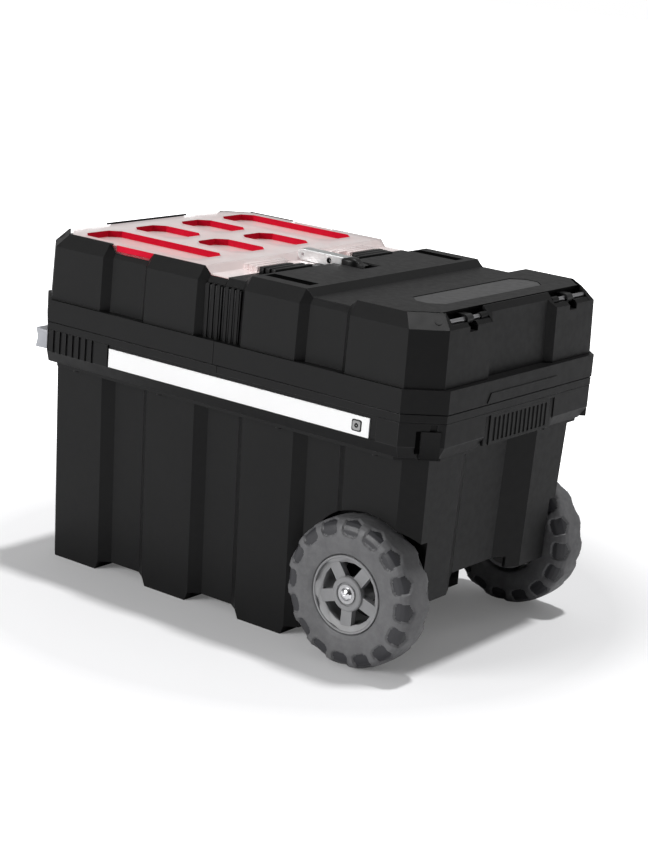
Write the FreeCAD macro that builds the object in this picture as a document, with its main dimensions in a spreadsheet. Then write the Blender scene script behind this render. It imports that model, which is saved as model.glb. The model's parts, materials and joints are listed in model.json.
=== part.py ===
import FreeCAD, Part
import math
import os
import re

import Sketcher
from FreeCAD import Vector

# Rolling tool chest: a ribbed tub on two wheels, a collar with a pull handle, and two upper
# modules that slide apart on rails. Millimetres. +X runs along the chest towards the wheels,
# the front faces -Y and the floor is z = 0. The modules meet in the plane x = junction.

SIZES = {
    # overall form of the upper modules
    "body_half_length": 300,      # half length over the modules' skirts
    "skirt_half_width": 189.5,    # half width over the skirts
    "skirt_corner": 37.4,         # corner cut of the skirts
    "wall_setback": 6.8,          # from the skirts' ends back to the walls
    "wall_side_setback": 4.5,     # the same at the sides
    "deck_setback": 22.5,         # from the skirts' ends back to the deck
    "deck_side_setback": 17,      # the same at the sides
    "collar_top": 296,            # top of the collar, just under the skirts
    "slide_gap": 0.4,             # gap between the collar and the skirts
    "skirt_split": 306.5,         # crease between the two bands of the skirt
    "skirt_high": 333,            # upper edge of the skirts
    "crease_depth": 1.2,
    "lap_step": 6,                # offset of the joint in the lower skirt band
    "lap_gap": 0.6,               # gap between the two modules' bands where they lap
    "wall_corner": 31.6,
    "wall_lean": 1.6,             # how far the walls lean in over their height
    "chamfer_rise": 15.5,         # height of the top chamfer
    "deck_height": 413,           # height of the raised deck
    "deck_corner": 29,
    "rim_edge": 1,                # flat on top of the rim beside a lid
    "panel_depth": 8,             # depth of the walls' recesses and of the deck's channels
    "panel_slope": 9.3,           # width of each slanted facet beside a recess
    "middle_gap": 35,             # half width of the recess at the junction
    "side_gap_near": 112.4,       # where the second recess starts
    "side_gap_far": 182.3,        # where the second recess ends
    "end_gap": 68,                # half width of the recess in the end walls
    "module_wall": 3,
    "floor_under": 308,           # underside of the modules' floors
    "half_gap": 0.3,              # half the gap between the modules
    "grip_rib_width": 4,
    "grip_rib_pitch": 8,
    "grip_rib_height": 3,
    "plug_radius": 4.2,           # round plugs in the outer corner facets
    "plug_length": 4,
    "plug_proud": 0.5,
    "plug_share": 0.225,          # place of a plug across its facet, from the end wall's side
    # lids
    "lid_seat_gap": 0.4,
    "ledge_drop": 12,             # from the deck down to the ledge that the lids rest on
    "lid_side_gap": 0.4,
    "lid_end_gap": 6.6,           # clearance that lets a lid turn past the rim
    "lid_corner_gap": 4,          # the same past the rim's corner facets
    "lid_plate": 3,
    "ledge_width": 6,
    "hinge_radius": 2.75,
    "hinge_inset": 19,            # from the module's end to the pin's axis
    "hinge_drop": 9.5,            # from the deck down to the pin's axis
    "hinge_bay_near": 68,         # the hinge bays, measured from the middle of the end
    "hinge_bay_far": 141.5,
    "hinge_bore_depth": 3.5,
    "hinge_fit": 0.05,
    "arm_width": 12,
    "knuckle_wall": 2.6,
    "deck_slot_length": 61,
    "deck_slot_width": 9,
    "deck_slot_depth": 1.5,
    "deck_slot_start": 39,
    "deck_slot_offset": 146,
    "pad_inset": 95,              # from the skirts' end in to the pad
    "pad_length": 44,
    "pad_half_width": 114,
    "pad_depth": 1.6,
    "pad_corner": 14,
    "inlay_thick": 1,
    # clear lid pockets
    "pocket_depth": 7.5,
    "pocket_wall": 1.6,
    "pocket_corner": 12,
    "long_pocket_length": 180,
    "long_pocket_width": 61,
    "long_pocket_offset": 127.5,
    "short_pocket_length": 78,
    "short_pocket_width": 55,
    "short_pocket_offset": 43,
    "pocket_start": 65,           # from the junction to the nearest pockets
    "clear_plate": 2,
    "bin_wall": 1.6,
    "bin_corner": 14,
    "bin_end_gap": 50.5,          # from the skirt's end in to the bins
    "bin_split_far": 160,
    "bin_split_near": 150,
    "bin_start": 61,
    "bin_middle": 2,              # the bins, measured from the middle plane
    "bin_row_near": 84,
    "bin_row_far": 86,
    "bin_side_gap": 9,            # from the deck's edge in to the bins
    "insert_length": 58,
    "insert_centre": 144,
    # latch
    "latch_width": 14,
    "latch_sheet": 1.5,
    "latch_pivot_from_joint": 22,
    "latch_end_radius": 7,
    "latch_reach": 44,
    "latch_floor_gap": 0.6,
    "latch_pin_radius": 2,
    "latch_rise": 7,              # from the deck up to the top of the latch
    "latch_pin_half": 7.4,
    "boss_gap": 0.6,
    "lug_width": 5,
    "lug_start": 9,
    "lug_end": 27,
    "lug_rise": 4,
    "shackle_place": 18,
    "shackle_drop": 1.2,
    "shackle_radius": 3.6,
    "well_length": 76.5,
    "well_half_width": 19,
    "well_wall": 2,
    "well_depth": 15,
    "thumb_length": 25,
    "thumb_half_width": 8.5,
    "thumb_drop": 6,
    "thumb_slot": 3.5,
    # collar
    "collar_low": 254.5,
    "collar_edge": 269,           # where the face starts to slope in
    "collar_inset": 1,            # the collar stands this far inside the skirts at the ends
    "collar_side_inset": 0.7,     # the same at the sides
    "tub_inset": 22,              # from the skirts in to the tub at the ends
    "tub_side_inset": 21.5,       # the same at the sides
    "collar_corner": 37,
    "collar_slope": 9,
    "collar_wall": 3.5,
    "collar_open_half_length": 252,
    "collar_open_inset": 59.5,    # from the skirts' sides in to the opening
    "strip_start": -161,
    "strip_length": 384.5,
    "strip_low": 269.3,
    "strip_height": 22.5,
    "strip_thick": 1.6,
    "recess_start": -163,
    "recess_length": 396,
    "recess_depth": 2,
    "plug_side": 8,
    "plug_inset": 10,
    "rib_field_start": -263,
    "rib_pitch": 10.6,
    "rib_groove": 4,
    "rib_count": 8,
    "corner_slot_width": 8,
    "corner_slot_depth": 2.5,
    "corner_slot_shift": 9,
    "grip_bay_half_width": 73,
    "lift_grip_half_width": 63,
    "lift_grip_depth": 13,
    "lift_rib_pitch": 9,
    "lift_rib_groove": 4.5,
    "lift_rib_depth": 1.2,
    "sleeve_rib_near": -60,       # cross ribs in the collar that carry the handle's sleeves
    "sleeve_rib_far": 180,
    "screw_radius": 2,
    "screw_head_radius": 3.4,
    "screw_head_height": 2.5,
    "screw_length": 18,
    "screw_inset": 15.5,          # from the skirts' sides in to the screws
    "screw_near": 90,
    "screw_far": 225,
    "post_radius": 4.5,
    # tub
    "tub_corner": 21.3,
    "tub_lean": 11,               # how far the long walls lean in from top to bottom
    "tub_end_lean": 7.3,          # the same for the end walls
    "tub_handle_reach": 5.5,      # the upright wall at the handle end stands this far out
    "tub_wall": 3.5,
    "tub_recess": 10,
    "tub_slope": 14,
    "tub_middle_gap": 37.1,
    "tub_gap_near": 110.6,
    "tub_gap_far": 184.4,
    "tub_gap_shift": 4.5,         # the recesses sit this far towards the handle
    "tub_end_gap": 78,
    "tub_end_slope": 36,
    "tub_end_recess": 18,
    "tub_foot": 11,
    "foot_depth": 40,
    "flange_thick": 3.5,
    "flange_ledge": 11.6,         # how far the flange stands out from the tub
    "bay_inset": 142,             # from the skirts' end in to the raised bay
    "bay_height": 107,
    "end_wall_foot": 77.5,
    "end_recess_foot": 91,
    "well_inner": 130,
    "arch_height": 86.5,
    "axle_inset": 88.2,           # from the skirts' end in to the axle
    "arch_radius": 91,
    # wheels
    "axle_radius": 6,
    "axle_boss_radius": 11,
    "tyre_radius": 86.5,
    "tyre_outer": 191,
    "tyre_width": 52,
    "tyre_bore": 41,
    "tread_notches": 16,
    "tread_notch_width": 11,
    "rim_radius": 45.1,
    "hub_bore_fit": 0.05,
    "hub_inner": 138,             # the hub, measured from the middle plane
    "hub_outer": 185,
    "hub_ring": 37,
    "plate_inner": 176,
    "plate_outer": 182,
    "spoke_count": 5,
    "window_inner": 18,
    "window_outer": 36.4,
    "boss_radius": 16,
    "bush_wall": 2,
    "axle_half_length": 188,
    "cap_radius": 7.5,
    "cap_rise": 3,                # how far the caps stand out past the axle
    "spacer_radius": 10,
    "spacer_start": 133.5,
    "spacer_end": 137.6,
    "washer_start": 185.3,
    "washer_end": 186.8,
    "washer_radius": 11,
    # pull handle
    "handle_proud": 5,  # how far the grip stands out past the skirts
    "handle_depth": 26,           # depth of the grip's end blocks
    "handle_side_inset": 22.5,    # from the skirts' sides in to the grip's ends
    "handle_low": 263,
    "handle_high": 288,
    "handle_waist_low": 266,
    "handle_waist_high": 285,
    "handle_block": 24,
    "handle_bar_thick": 12,
    "handle_gap": 1.5,  # clearance of the grip in its recess
    "handle_grip_depth": 3,       # how far the tubes reach into the grip's blocks
    "tube_radius": 6,
    "tube_length": 500,
    "tube_inset": 35.5,           # from the skirts' sides in to the tubes
    "tube_height": 275,
    "tube_wall": 1.2,
    "sleeve_fit": 0.06,
    "sleeve_wall": 1.6,
    "sleeve_length": 500,
    "tube_plug_length": 8,
    # rails
    "rail_half_length": 288,
    "rail_foot": 10,
    "rail_web": 3,
    "rail_head": 9,
    "rail_height": 8,
    "rail_inset": 39.5,           # from the skirts' sides in to the rails
    "rail_flange": 2,
    "runner_gap": 0.5,
    "runner_length": 34,
    "runner_width": 18,
    "runner_inset": 14,          # from the skirt's end to the outer runner
    "runner_near": 24,            # from the junction to the inner runner
    "stop_length": 10,
    "stop_width": 7.4,
    "stop_height": 6,
    "stop_margin": 2,
}

# Levels and half lengths that follow from the sizes above.
LEVELS = {
    "wall_half_length": "=body_half_length - wall_setback",
    "wall_half_width": "=skirt_half_width - wall_side_setback",
    "wall_top": "=deck_height - chamfer_rise",
    "deck_half_length": "=body_half_length - deck_setback",
    "deck_half_width": "=skirt_half_width - deck_side_setback",
    "lid_ledge": "=deck_height - ledge_drop",
    "hinge_height": "=deck_height - hinge_drop",
    "latch_top": "=deck_height + latch_rise",
    "lug_top": "=deck_height + lug_rise",
    "shackle_height": "=deck_height - shackle_drop",
    "well_floor": "=deck_height - well_depth",
    "thumb_low": "=deck_height - thumb_drop",
    "collar_half_length": "=body_half_length - collar_inset",
    "collar_half_width": "=skirt_half_width - collar_side_inset",
    "tub_half_length": "=body_half_length - tub_inset",
    "tub_half_width": "=skirt_half_width - tub_side_inset",
    "flange_reach": "=skirt_half_width - tub_side_inset + flange_ledge",
    "bin_side": "=skirt_half_width - deck_side_setback - bin_side_gap",
    "rail_offset": "=skirt_half_width - rail_inset",
    "tube_offset": "=skirt_half_width - tube_inset",
    "handle_half_width": "=skirt_half_width - handle_side_inset",
    "handle_outer": "=body_half_length + handle_proud",
    "handle_inner": "=body_half_length + handle_proud - handle_depth",
    "bin_end": "=body_half_length - bin_end_gap",
    "screw_offset": "=skirt_half_width - screw_inset",
    "cap_end": "=axle_half_length + cap_rise",
    "axle_x": "=body_half_length - axle_inset",
    "arch_centre": "=body_half_length - axle_inset",
    "bay_start": "=body_half_length - bay_inset",
    "pad_start": "=body_half_length - pad_inset",
    "collar_open_half_width": "=skirt_half_width - collar_open_inset",
}

doc = FreeCAD.newDocument("tool_chest")
sheet = doc.addObject("Spreadsheet::Sheet", "sizes")
for row, (alias, value) in enumerate({**SIZES, **LEVELS}.items(), start=1):
    sheet.set(f"A{row}", alias)
    sheet.set(f"B{row}", str(value))
    sheet.setAlias(f"B{row}", alias)
doc.recompute()


def size(name):
    """The value of one named size, read back from the sheet."""
    return float(sheet.get(name))


def bind(item, prop, text):
    """Bind a property to an expression written in the sheet's own words."""
    names = re.compile(r"[a-z_]+")
    item.setExpression(prop, names.sub(lambda m: "sizes." + m.group() if m.group() in SIZES or m.group() in LEVELS
                                    else m.group(), text))


def block(name, low, high):
    """A box between two opposite corners."""
    item = doc.addObject("Part::Box", name)
    for axis, edge, first, last in zip("xyz", ("Length", "Width", "Height"), low, high):
        bind(item, edge, f"({last}) - ({first})")
        bind(item, f"Placement.Base.{axis}", f"{first}")
    return item


def rod(name, radius, length, start, direction):
    """A cylinder from a start point along a direction."""
    item = doc.addObject("Part::Cylinder", name)
    item.Placement = FreeCAD.Placement(Vector(), FreeCAD.Rotation(Vector(0, 0, 1), Vector(*direction)))
    bind(item, "Radius", radius)
    bind(item, "Height", length)
    for axis, place in zip("xyz", start):
        bind(item, f"Placement.Base.{axis}", f"{place}")
    return item


def fuse(name, *items):
    joined = doc.addObject("Part::MultiFuse", name)
    joined.Shapes = list(items)
    return joined


def cut(name, base, *tools):
    trimmed = doc.addObject("Part::Cut", name)
    trimmed.Base = base
    trimmed.Tool = tools[0] if len(tools) == 1 else fuse(name + "_tools", *tools)
    return trimmed


def mirror(name, source, normal):
    """The mirror image in the plane through the origin with this normal."""
    image = doc.addObject("Part::Mirroring", name)
    image.Source = source
    image.Normal = Vector(*normal)
    return image


def solid(name, shape):
    """A document object for a shape that is built from the sheet's values in code."""
    item = doc.addObject("Part::Feature", name)
    item.Shape = shape
    return item


NODES = []


def place(label, *items, at=("0", "0", "0")):
    """One named sub-part: its solids, moved so that the whole chest is centred on the origin."""
    node = doc.addObject("Part::Compound", "node_" + label)
    node.Links = list(items)
    node.Label = label
    bind(node, "Placement.Base.x", f"handle_proud / 2 + {at[0]}")
    bind(node, "Placement.Base.y", at[1])
    bind(node, "Placement.Base.z", at[2])
    NODES.append(node)
    return node


def body_sketch(body, plane, points):
    """A closed polygon in one of the body's origin planes, each corner pinned by expressions."""
    drawing = body.newObject("Sketcher::SketchObject", body.Name + "_sketch")
    support = next(item for item in body.Origin.OriginFeatures if item.Role == plane)
    drawing.AttachmentSupport = [(support, "")]
    drawing.MapMode = "FlatFace"
    count = len(points)
    start = [Vector(math.cos(2 * math.pi * i / count), math.sin(2 * math.pi * i / count), 0) for i in range(count)]
    for i in range(count):
        drawing.addGeometry(Part.LineSegment(start[i], start[(i + 1) % count]))
    for i in range(count):
        drawing.addConstraint(Sketcher.Constraint("Coincident", i, 2, (i + 1) % count, 1))
    for i, (across, along) in enumerate(points):
        for kind, text in (("DistanceX", across), ("DistanceY", along)):
            number = drawing.addConstraint(Sketcher.Constraint(kind, -1, 1, i, 1, 1.0))
            bind(drawing, f"Constraints[{number}]", text)
    return drawing


def bar(name, plane, points, length):
    """A body: a polygon padded to both sides of its plane."""
    body = doc.addObject("PartDesign::Body", name)
    drawing = body_sketch(body, plane, points)
    pad = body.newObject("PartDesign::Pad", name + "_pad")
    pad.Profile = drawing
    bind(pad, "Length", length)
    pad.SideType = "Symmetric"
    body.Tip = pad
    return body


def turned(name, points):
    """A body: a half section in Y and radius, turned about the Y axis."""
    body = doc.addObject("PartDesign::Body", name)
    drawing = body_sketch(body, "YZ_Plane", points)
    revolve = body.newObject("PartDesign::Revolution", name + "_turn")
    revolve.Profile = drawing
    revolve.ReferenceAxis = (drawing, ["H_Axis"])
    revolve.Angle = 360
    body.Tip = revolve
    return body


# --- outlines of the ribbed shells -------------------------------------------------------------

def notched_edge(start, end, level, gaps, depth, slope):
    """Points along one straight side: (distance along it, distance from the middle)."""
    points = [(start, level)]
    for first, last in gaps:
        points += [(first, level), (first + slope, level - depth), (last - slope, level - depth), (last, level)]
    return points + [(end, level)]


def ring(half_length, half_width, corner, side=((), 0, 1), end=((), 0, 1), inset=0):
    """An eight-sided outline with recesses in its sides and ends, moved inwards by inset."""
    half_length -= inset
    half_width -= inset
    corner -= inset * (2 - math.sqrt(2))
    runs = []
    for reach, level, (gaps, depth, slope) in ((half_length - corner, half_width, side),
                                               (half_width - corner, half_length, end)):
        drift = inset * math.tan(math.atan2(depth, slope) / 2)
        moved = [(first - drift, last + drift) for first, last in gaps]
        runs.append(notched_edge(-reach, reach, level, moved, depth, slope))
    front = [(along, -out) for along, out in runs[0]]
    right = [(out, along) for along, out in runs[1]]
    return front + right + [(x, -y) for x, y in reversed(front)] + [(-x, y) for x, y in reversed(right)]


def wire(points, height):
    corners = [Vector(x, y, height) for x, y in points]
    return Part.makePolygon(corners + corners[:1])


def prism(points, low, high):
    """A straight solid on a flat outline."""
    return Part.Face(wire(points, low)).extrude(Vector(0, 0, high - low))


def taper(low_points, low, high_points, high):
    """A solid between two outlines with matching corners."""
    return Part.makeLoft([wire(low_points, low), wire(high_points, high)], True, True)


def box(x0, x1, y0, y1, z0, z1):
    return Part.makeBox(x1 - x0, y1 - y0, z1 - z0, Vector(x0, y0, z0))


def beam(profile, half_width):
    """A solid with an (x, z) profile, run along Y to both sides of the middle."""
    corners = [Vector(x, -half_width, z) for x, z in profile]
    return Part.Face(Part.makePolygon(corners + corners[:1])).extrude(Vector(0, 2 * half_width, 0))


def pin_hole(radius, y0, y1, x, z):
    return Part.makeCylinder(radius, y1 - y0, Vector(x, y0, z), Vector(0, 1, 0))


def both_sides(shape):
    """A shape and its mirror image across the middle plane y = 0."""
    return [shape, shape.mirror(Vector(), Vector(0, 1, 0))]


def mirrored_x(shape):
    return shape.mirror(Vector(), Vector(1, 0, 0))


# --- upper modules -----------------------------------------------------------------------------

def module_sides():
    gap = size("middle_gap")
    near, far = size("side_gap_near"), size("side_gap_far")
    return (((-far, -near), (-gap, gap), (near, far)), size("panel_depth"), size("panel_slope"))


def module_ends():
    return (((-size("end_gap"), size("end_gap")),), size("panel_depth"), size("panel_slope"))


def wall_ring(lean, inset=0, ends=True):
    """The ribbed outline of the modules' walls, leaning in by so much."""
    return ring(size("wall_half_length") - lean, size("wall_half_width") - lean, size("wall_corner"),
                module_sides(), module_ends() if ends else ((), 0, 1), inset)


def deck_ring(inset=0, ribbed=False):
    """The outline of the deck, with or without the side recesses running up into it."""
    return ring(size("deck_half_length"), size("deck_half_width"), size("deck_corner"),
                module_sides() if ribbed else ((), 0, 1), ((), 0, 1), inset)


def end_recess():
    """The recess in the right end wall where it runs up through the top chamfer."""
    half, slope, depth = size("end_gap"), size("panel_slope"), size("panel_depth")
    x = size("wall_half_length") - size("wall_lean")
    outline = [(x, -half), (x + depth, -half), (x + depth, half), (x, half), (x - depth, half - slope),
               (x - depth, slope - half)]
    return prism(outline, size("wall_top"), size("deck_height") + depth)


def half_space(side, clear):
    """Everything on one side of the junction, from so far off it."""
    reach = 2 * size("body_half_length")
    half = box(clear, reach, -reach, reach, -reach, reach)
    return half if side > 0 else mirrored_x(half)


def channel_profiles():
    """(x, z) profiles of the channels that cross the deck, open at the top."""
    top = size("deck_height")
    floor = top - size("panel_depth")
    slope = size("panel_slope")
    above = top + slope
    profiles = []
    for first, last in module_sides()[0]:
        profiles.append([(first - 0.01, above), (first - 0.01, top), (first + slope, floor),
                         (last - slope, floor), (last + 0.01, top), (last + 0.01, above)])
    return profiles


def hinge_x():
    return size("body_half_length") - size("hinge_inset")


def corner_plugs():
    """The round plugs in the outer corner facets at the right end."""
    wall_x, wall_y = size("wall_half_length") - size("wall_lean"), size("wall_half_width") - size("wall_lean")
    deck_x, deck_y = size("deck_half_length"), size("deck_half_width")
    rise = size("deck_height") - size("wall_top")
    share = size("plug_share")
    wall_cut, deck_cut = size("wall_corner"), size("deck_corner")
    below = Vector(wall_x - share * wall_cut, (1 - share) * wall_cut - wall_y, size("wall_top"))
    above = Vector(deck_x - share * deck_cut, (1 - share) * deck_cut - deck_y, size("deck_height"))
    run = ((wall_x - wall_cut / 2) - (deck_x - deck_cut / 2) + (wall_y - wall_cut / 2) - (deck_y - deck_cut / 2))
    outward = Vector(rise, -rise, run).normalize()
    foot = (below + above) / 2 - outward * (size("plug_length") - size("plug_proud"))
    return both_sides(Part.makeCylinder(size("plug_radius"), size("plug_length"), foot, outward))


def grip_ribs(side):
    """Upright grip ribs in the recess beside the junction, front and back."""
    level = size("wall_half_width") - size("panel_depth")
    ribs = []
    for i in range(int((size("middle_gap") - size("panel_slope")) // size("grip_rib_pitch"))):
        x = size("half_gap") + i * size("grip_rib_pitch") + size("grip_rib_pitch") - size("grip_rib_width")
        rib = box(x, x + size("grip_rib_width"), -level - size("grip_rib_height"), -level + size("module_wall"),
                  size("skirt_high"), size("wall_top") - size("wall_lean"))
        ribs += both_sides(rib if side > 0 else mirrored_x(rib))
    return ribs


def module_shell():
    """The outside of both modules as one closed form, skirts and top chamfer included."""
    half, width, corner = size("body_half_length"), size("skirt_half_width"), size("skirt_corner")
    crease = size("crease_depth")
    bottom = size("collar_top") + size("slide_gap")
    split = size("skirt_split")
    low_band = prism(ring(half, width, corner, inset=crease / 2), bottom, split - crease)
    groove = prism(ring(half, width, corner, inset=2 * crease), split - crease, split)
    skirt = prism(ring(half, width, corner), split, size("skirt_high"))
    walls = taper(wall_ring(0), size("skirt_high"), wall_ring(size("wall_lean")), size("wall_top"))
    chamfer = taper(wall_ring(size("wall_lean"), ends=False), size("wall_top"),
                    deck_ring(ribbed=True), size("deck_height"))
    chamfer = chamfer.cut([end_recess(), mirrored_x(end_recess())])
    return low_band.fuse([groove, skirt, walls, chamfer])


def module_hollows():
    """Everything that is open inside the shell of both modules."""
    wall = size("module_wall")
    floor = size("floor_under")
    bottom = size("collar_top")
    skirt = ring(size("body_half_length"), size("skirt_half_width"), size("skirt_corner"),
                 inset=wall + size("crease_depth"))
    run_space = prism(skirt, bottom - wall, floor)
    store = taper(wall_ring(0, wall), floor + wall, wall_ring(size("wall_lean"), wall), size("lid_ledge") - wall)
    near, far = size("hinge_bay_near") - wall, size("hinge_bay_far") + wall
    inner = size("deck_half_length") - 6 * wall
    for x in (inner, -2 * inner):
        store = store.cut(both_sides(box(x, x + inner, near, far, size("wall_top") - 3 * wall, size("deck_height"))))
    ledge = prism(deck_ring(size("ledge_width")), size("lid_ledge") - 2 * wall, size("lid_ledge") + wall)
    seat = prism(deck_ring(size("rim_edge")), size("lid_ledge"), size("deck_height") + wall)
    channels = [beam(profile, 2 * size("skirt_half_width")) for profile in channel_profiles()]
    return [run_space, store, ledge, seat] + channels


def hinge_bays():
    """The two open bays in the rim of the right end, and the notch in the wall below each arm."""
    near, far = size("hinge_bay_near"), size("hinge_bay_far")
    x = size("deck_half_length") - 2 * size("ledge_width")
    reach = size("body_half_length")
    middle = (near + far) / 2
    notch = size("arm_width") / 2 + size("lid_side_gap") * 4
    bay = box(x, reach, near, far, size("wall_top"), size("deck_height") + size("panel_slope"))
    slot = box(hinge_x() - size("knuckle_wall"), reach, middle - notch, middle + notch,
               size("wall_top") - 2 * size("module_wall"), size("deck_height"))
    bore = pin_hole(size("hinge_radius"), near - size("hinge_bore_depth"), far + size("hinge_bore_depth"),
                    hinge_x(), size("hinge_height"))
    return both_sides(bay) + both_sides(slot) + both_sides(bore)


def skirt_band(side):
    """The lower band of one module's skirt, which laps the other module at the junction."""
    gap, wall, lap = size("half_gap"), size("module_wall"), size("lap_step")
    split, reach = size("skirt_split"), 2 * size("body_half_length")
    lower = module_shell().common(box(-reach, reach, -reach, reach, 0, split))
    if side > 0:
        lower = lower.common(half_space(side, gap + lap))
    else:
        lower = lower.common(half_space(side, gap - lap))
        lower = lower.cut(box(-gap, lap, -reach, reach, split - size("lap_gap"), split + wall))
    return lower.cut(module_hollows()[0]).removeSplitter()


def tray(side):
    """The frame of one upper module: upper skirt, ribbed walls, floor, ledge and hinge bays."""
    gap, wall = size("half_gap"), size("module_wall")
    split, reach = size("skirt_split"), 2 * size("body_half_length")
    upper = module_shell().common(half_space(side, gap)).cut(box(-reach, reach, -reach, reach, 0, split))
    shell = upper.fuse(grip_ribs(side))
    hollows = module_hollows()
    inner_side = half_space(side, gap + wall)
    openings = [hollows[0]] + [space.common(inner_side) for space in hollows[1:3]] + hollows[3:]
    ends = hinge_bays() + corner_plugs()
    openings += ends if side > 0 else [mirrored_x(shape) for shape in ends]
    return shell.cut(openings).removeSplitter()


def latch_shelf():
    """The shelf under the latch on the right module, with the finger well behind it."""
    gap, wall, thick = size("half_gap"), size("well_wall"), size("module_wall")
    half = size("well_half_width") - size("lid_side_gap") - 0.1
    top, floor = size("deck_height") - size("panel_depth"), size("well_floor")
    start, end = size("middle_gap"), size("well_length")
    shelf = box(gap, start, -half, half, size("lid_ledge"), top)
    shelf = shelf.fuse(box(gap + thick, start, -half, half, top - 2 * thick, top))
    cup = box(start - wall, end, -half, half, floor - thick, size("deck_height") - wall / 4)
    well = box(start - wall, end - wall, -half + wall, half - wall, floor, size("deck_height"))
    web = box(gap + thick, end - wall, -wall, wall, floor - 6 * thick, floor)
    return shelf.fuse([cup, web]).cut(well).removeSplitter()


def lid_profile(inner, shift, drop):
    """(x, z) outline of the storage lid: deck, channels and the end that turns past the rim."""
    top = size("deck_height") - drop
    floor = top - size("panel_depth")
    slope = size("panel_slope")
    near, far = size("side_gap_near"), size("side_gap_far")
    end = size("deck_half_length") - size("rim_edge") - size("lid_end_gap") - shift
    base = size("lid_ledge") + size("lid_seat_gap") - drop
    return [(inner, base), (inner, floor), (size("middle_gap") - slope + drop / 2, floor),
            (size("middle_gap") + drop / 2, top), (near - drop / 2, top), (near + slope - drop / 2, floor),
            (far - slope + drop / 2, floor), (far + drop / 2, top), (end + size("lid_plate"), top),
            (end, top - size("lid_end_gap")), (end, base)]


def corner_relief():
    """Wedges cut from a lid's outer corners, which let them turn past the rim's corner facets."""
    x, y = size("deck_half_length"), size("deck_half_width")
    cut_back = size("lid_corner_gap")
    near = y - size("deck_corner")
    wedge = [(x - size("lid_end_gap") - 1, near), (x + cut_back, near), (x + cut_back, y + cut_back),
             (x - size("deck_corner") - 2 * cut_back, y + cut_back)]
    return both_sides(prism(wedge, size("lid_ledge") - cut_back, size("deck_height") + cut_back))


def lid_arms(edge):
    """The hinge arms with their knuckles, and the pin bores, at the right end of a lid."""
    near, far = size("hinge_bay_near"), size("hinge_bay_far")
    middle, half = (near + far) / 2, size("arm_width") / 2
    x, z = hinge_x(), size("hinge_height")
    outer = size("hinge_radius") + size("knuckle_wall")
    arm = box(edge - size("ledge_width"), x, middle - half, middle + half, z, z + outer)
    knuckle = pin_hole(outer, middle - half, middle + half, x, z)
    bore = pin_hole(size("hinge_radius") + size("hinge_fit"), near, far, x, z)
    return both_sides(arm) + both_sides(knuckle), both_sides(bore)


def storage_lid():
    """The black lid of the right module."""
    gap, plate = size("half_gap"), size("lid_plate")
    outline = prism(deck_ring(size("rim_edge") + size("lid_side_gap")), 0, 2 * size("deck_height"))
    inside = prism(deck_ring(size("rim_edge") + size("lid_side_gap") + plate), 0, 2 * size("deck_height"))
    width = size("deck_half_width")
    body = beam(lid_profile(gap, 0, 0), width).common(outline)
    body = body.cut(beam(lid_profile(gap + plate, plate, plate), width).common(inside))
    arms, bores = lid_arms(size("deck_half_length") - size("rim_edge") - size("lid_end_gap"))
    top = size("deck_height")
    slot_y = size("deck_slot_offset") - size("deck_slot_width") / 2
    slot = box(size("deck_slot_start"), size("deck_slot_start") + size("deck_slot_length"),
               slot_y, slot_y + size("deck_slot_width"), top - size("deck_slot_depth"), top + plate)
    notch = box(0, size("well_length") + 0.5, -size("well_half_width"), size("well_half_width"), 0, 2 * top)
    pad = pad_solid(0, top - size("pad_depth"), top + plate)
    return body.fuse(arms).cut(bores + both_sides(slot) + corner_relief() + [notch, pad]).removeSplitter()


def pad_solid(inset, low, high):
    """The long eight-sided pad in the storage lid."""
    half = size("pad_length") / 2
    outline = ring(half, size("pad_half_width"), size("pad_corner"), inset=inset)
    return prism([(x + size("pad_start") + half, y) for x, y in outline], low, high)


def lid_inlay():
    """The smooth plate that lies in the storage lid's pad."""
    floor = size("deck_height") - size("pad_depth")
    return pad_solid(size("lid_side_gap"), floor, floor + size("inlay_thick"))


def pockets():
    """(low x, high x, low y, high y) of the six pockets sunk in the clear lid."""
    start = -size("pocket_start")
    end = start - size("long_pocket_length")
    short = size("short_pocket_length")
    places = []
    for x0, x1, offset, width in ((end, start, size("long_pocket_offset"), size("long_pocket_width")),
                                  (end, end + short, size("short_pocket_offset"), size("short_pocket_width")),
                                  (start - short, start, size("short_pocket_offset"), size("short_pocket_width"))):
        for y in (-offset, offset):
            places.append((x0, x1, y - width / 2, y + width / 2))
    return places


def cell(place_of, corner, grow, low, high):
    """An eight-sided cell over a rectangle, grown outwards by so much."""
    x0, x1, y0, y1 = place_of
    outline = ring((x1 - x0) / 2, (y1 - y0) / 2, corner, inset=-grow)
    return prism([(x + (x0 + x1) / 2, y + (y0 + y1) / 2) for x, y in outline], low, high)


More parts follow.
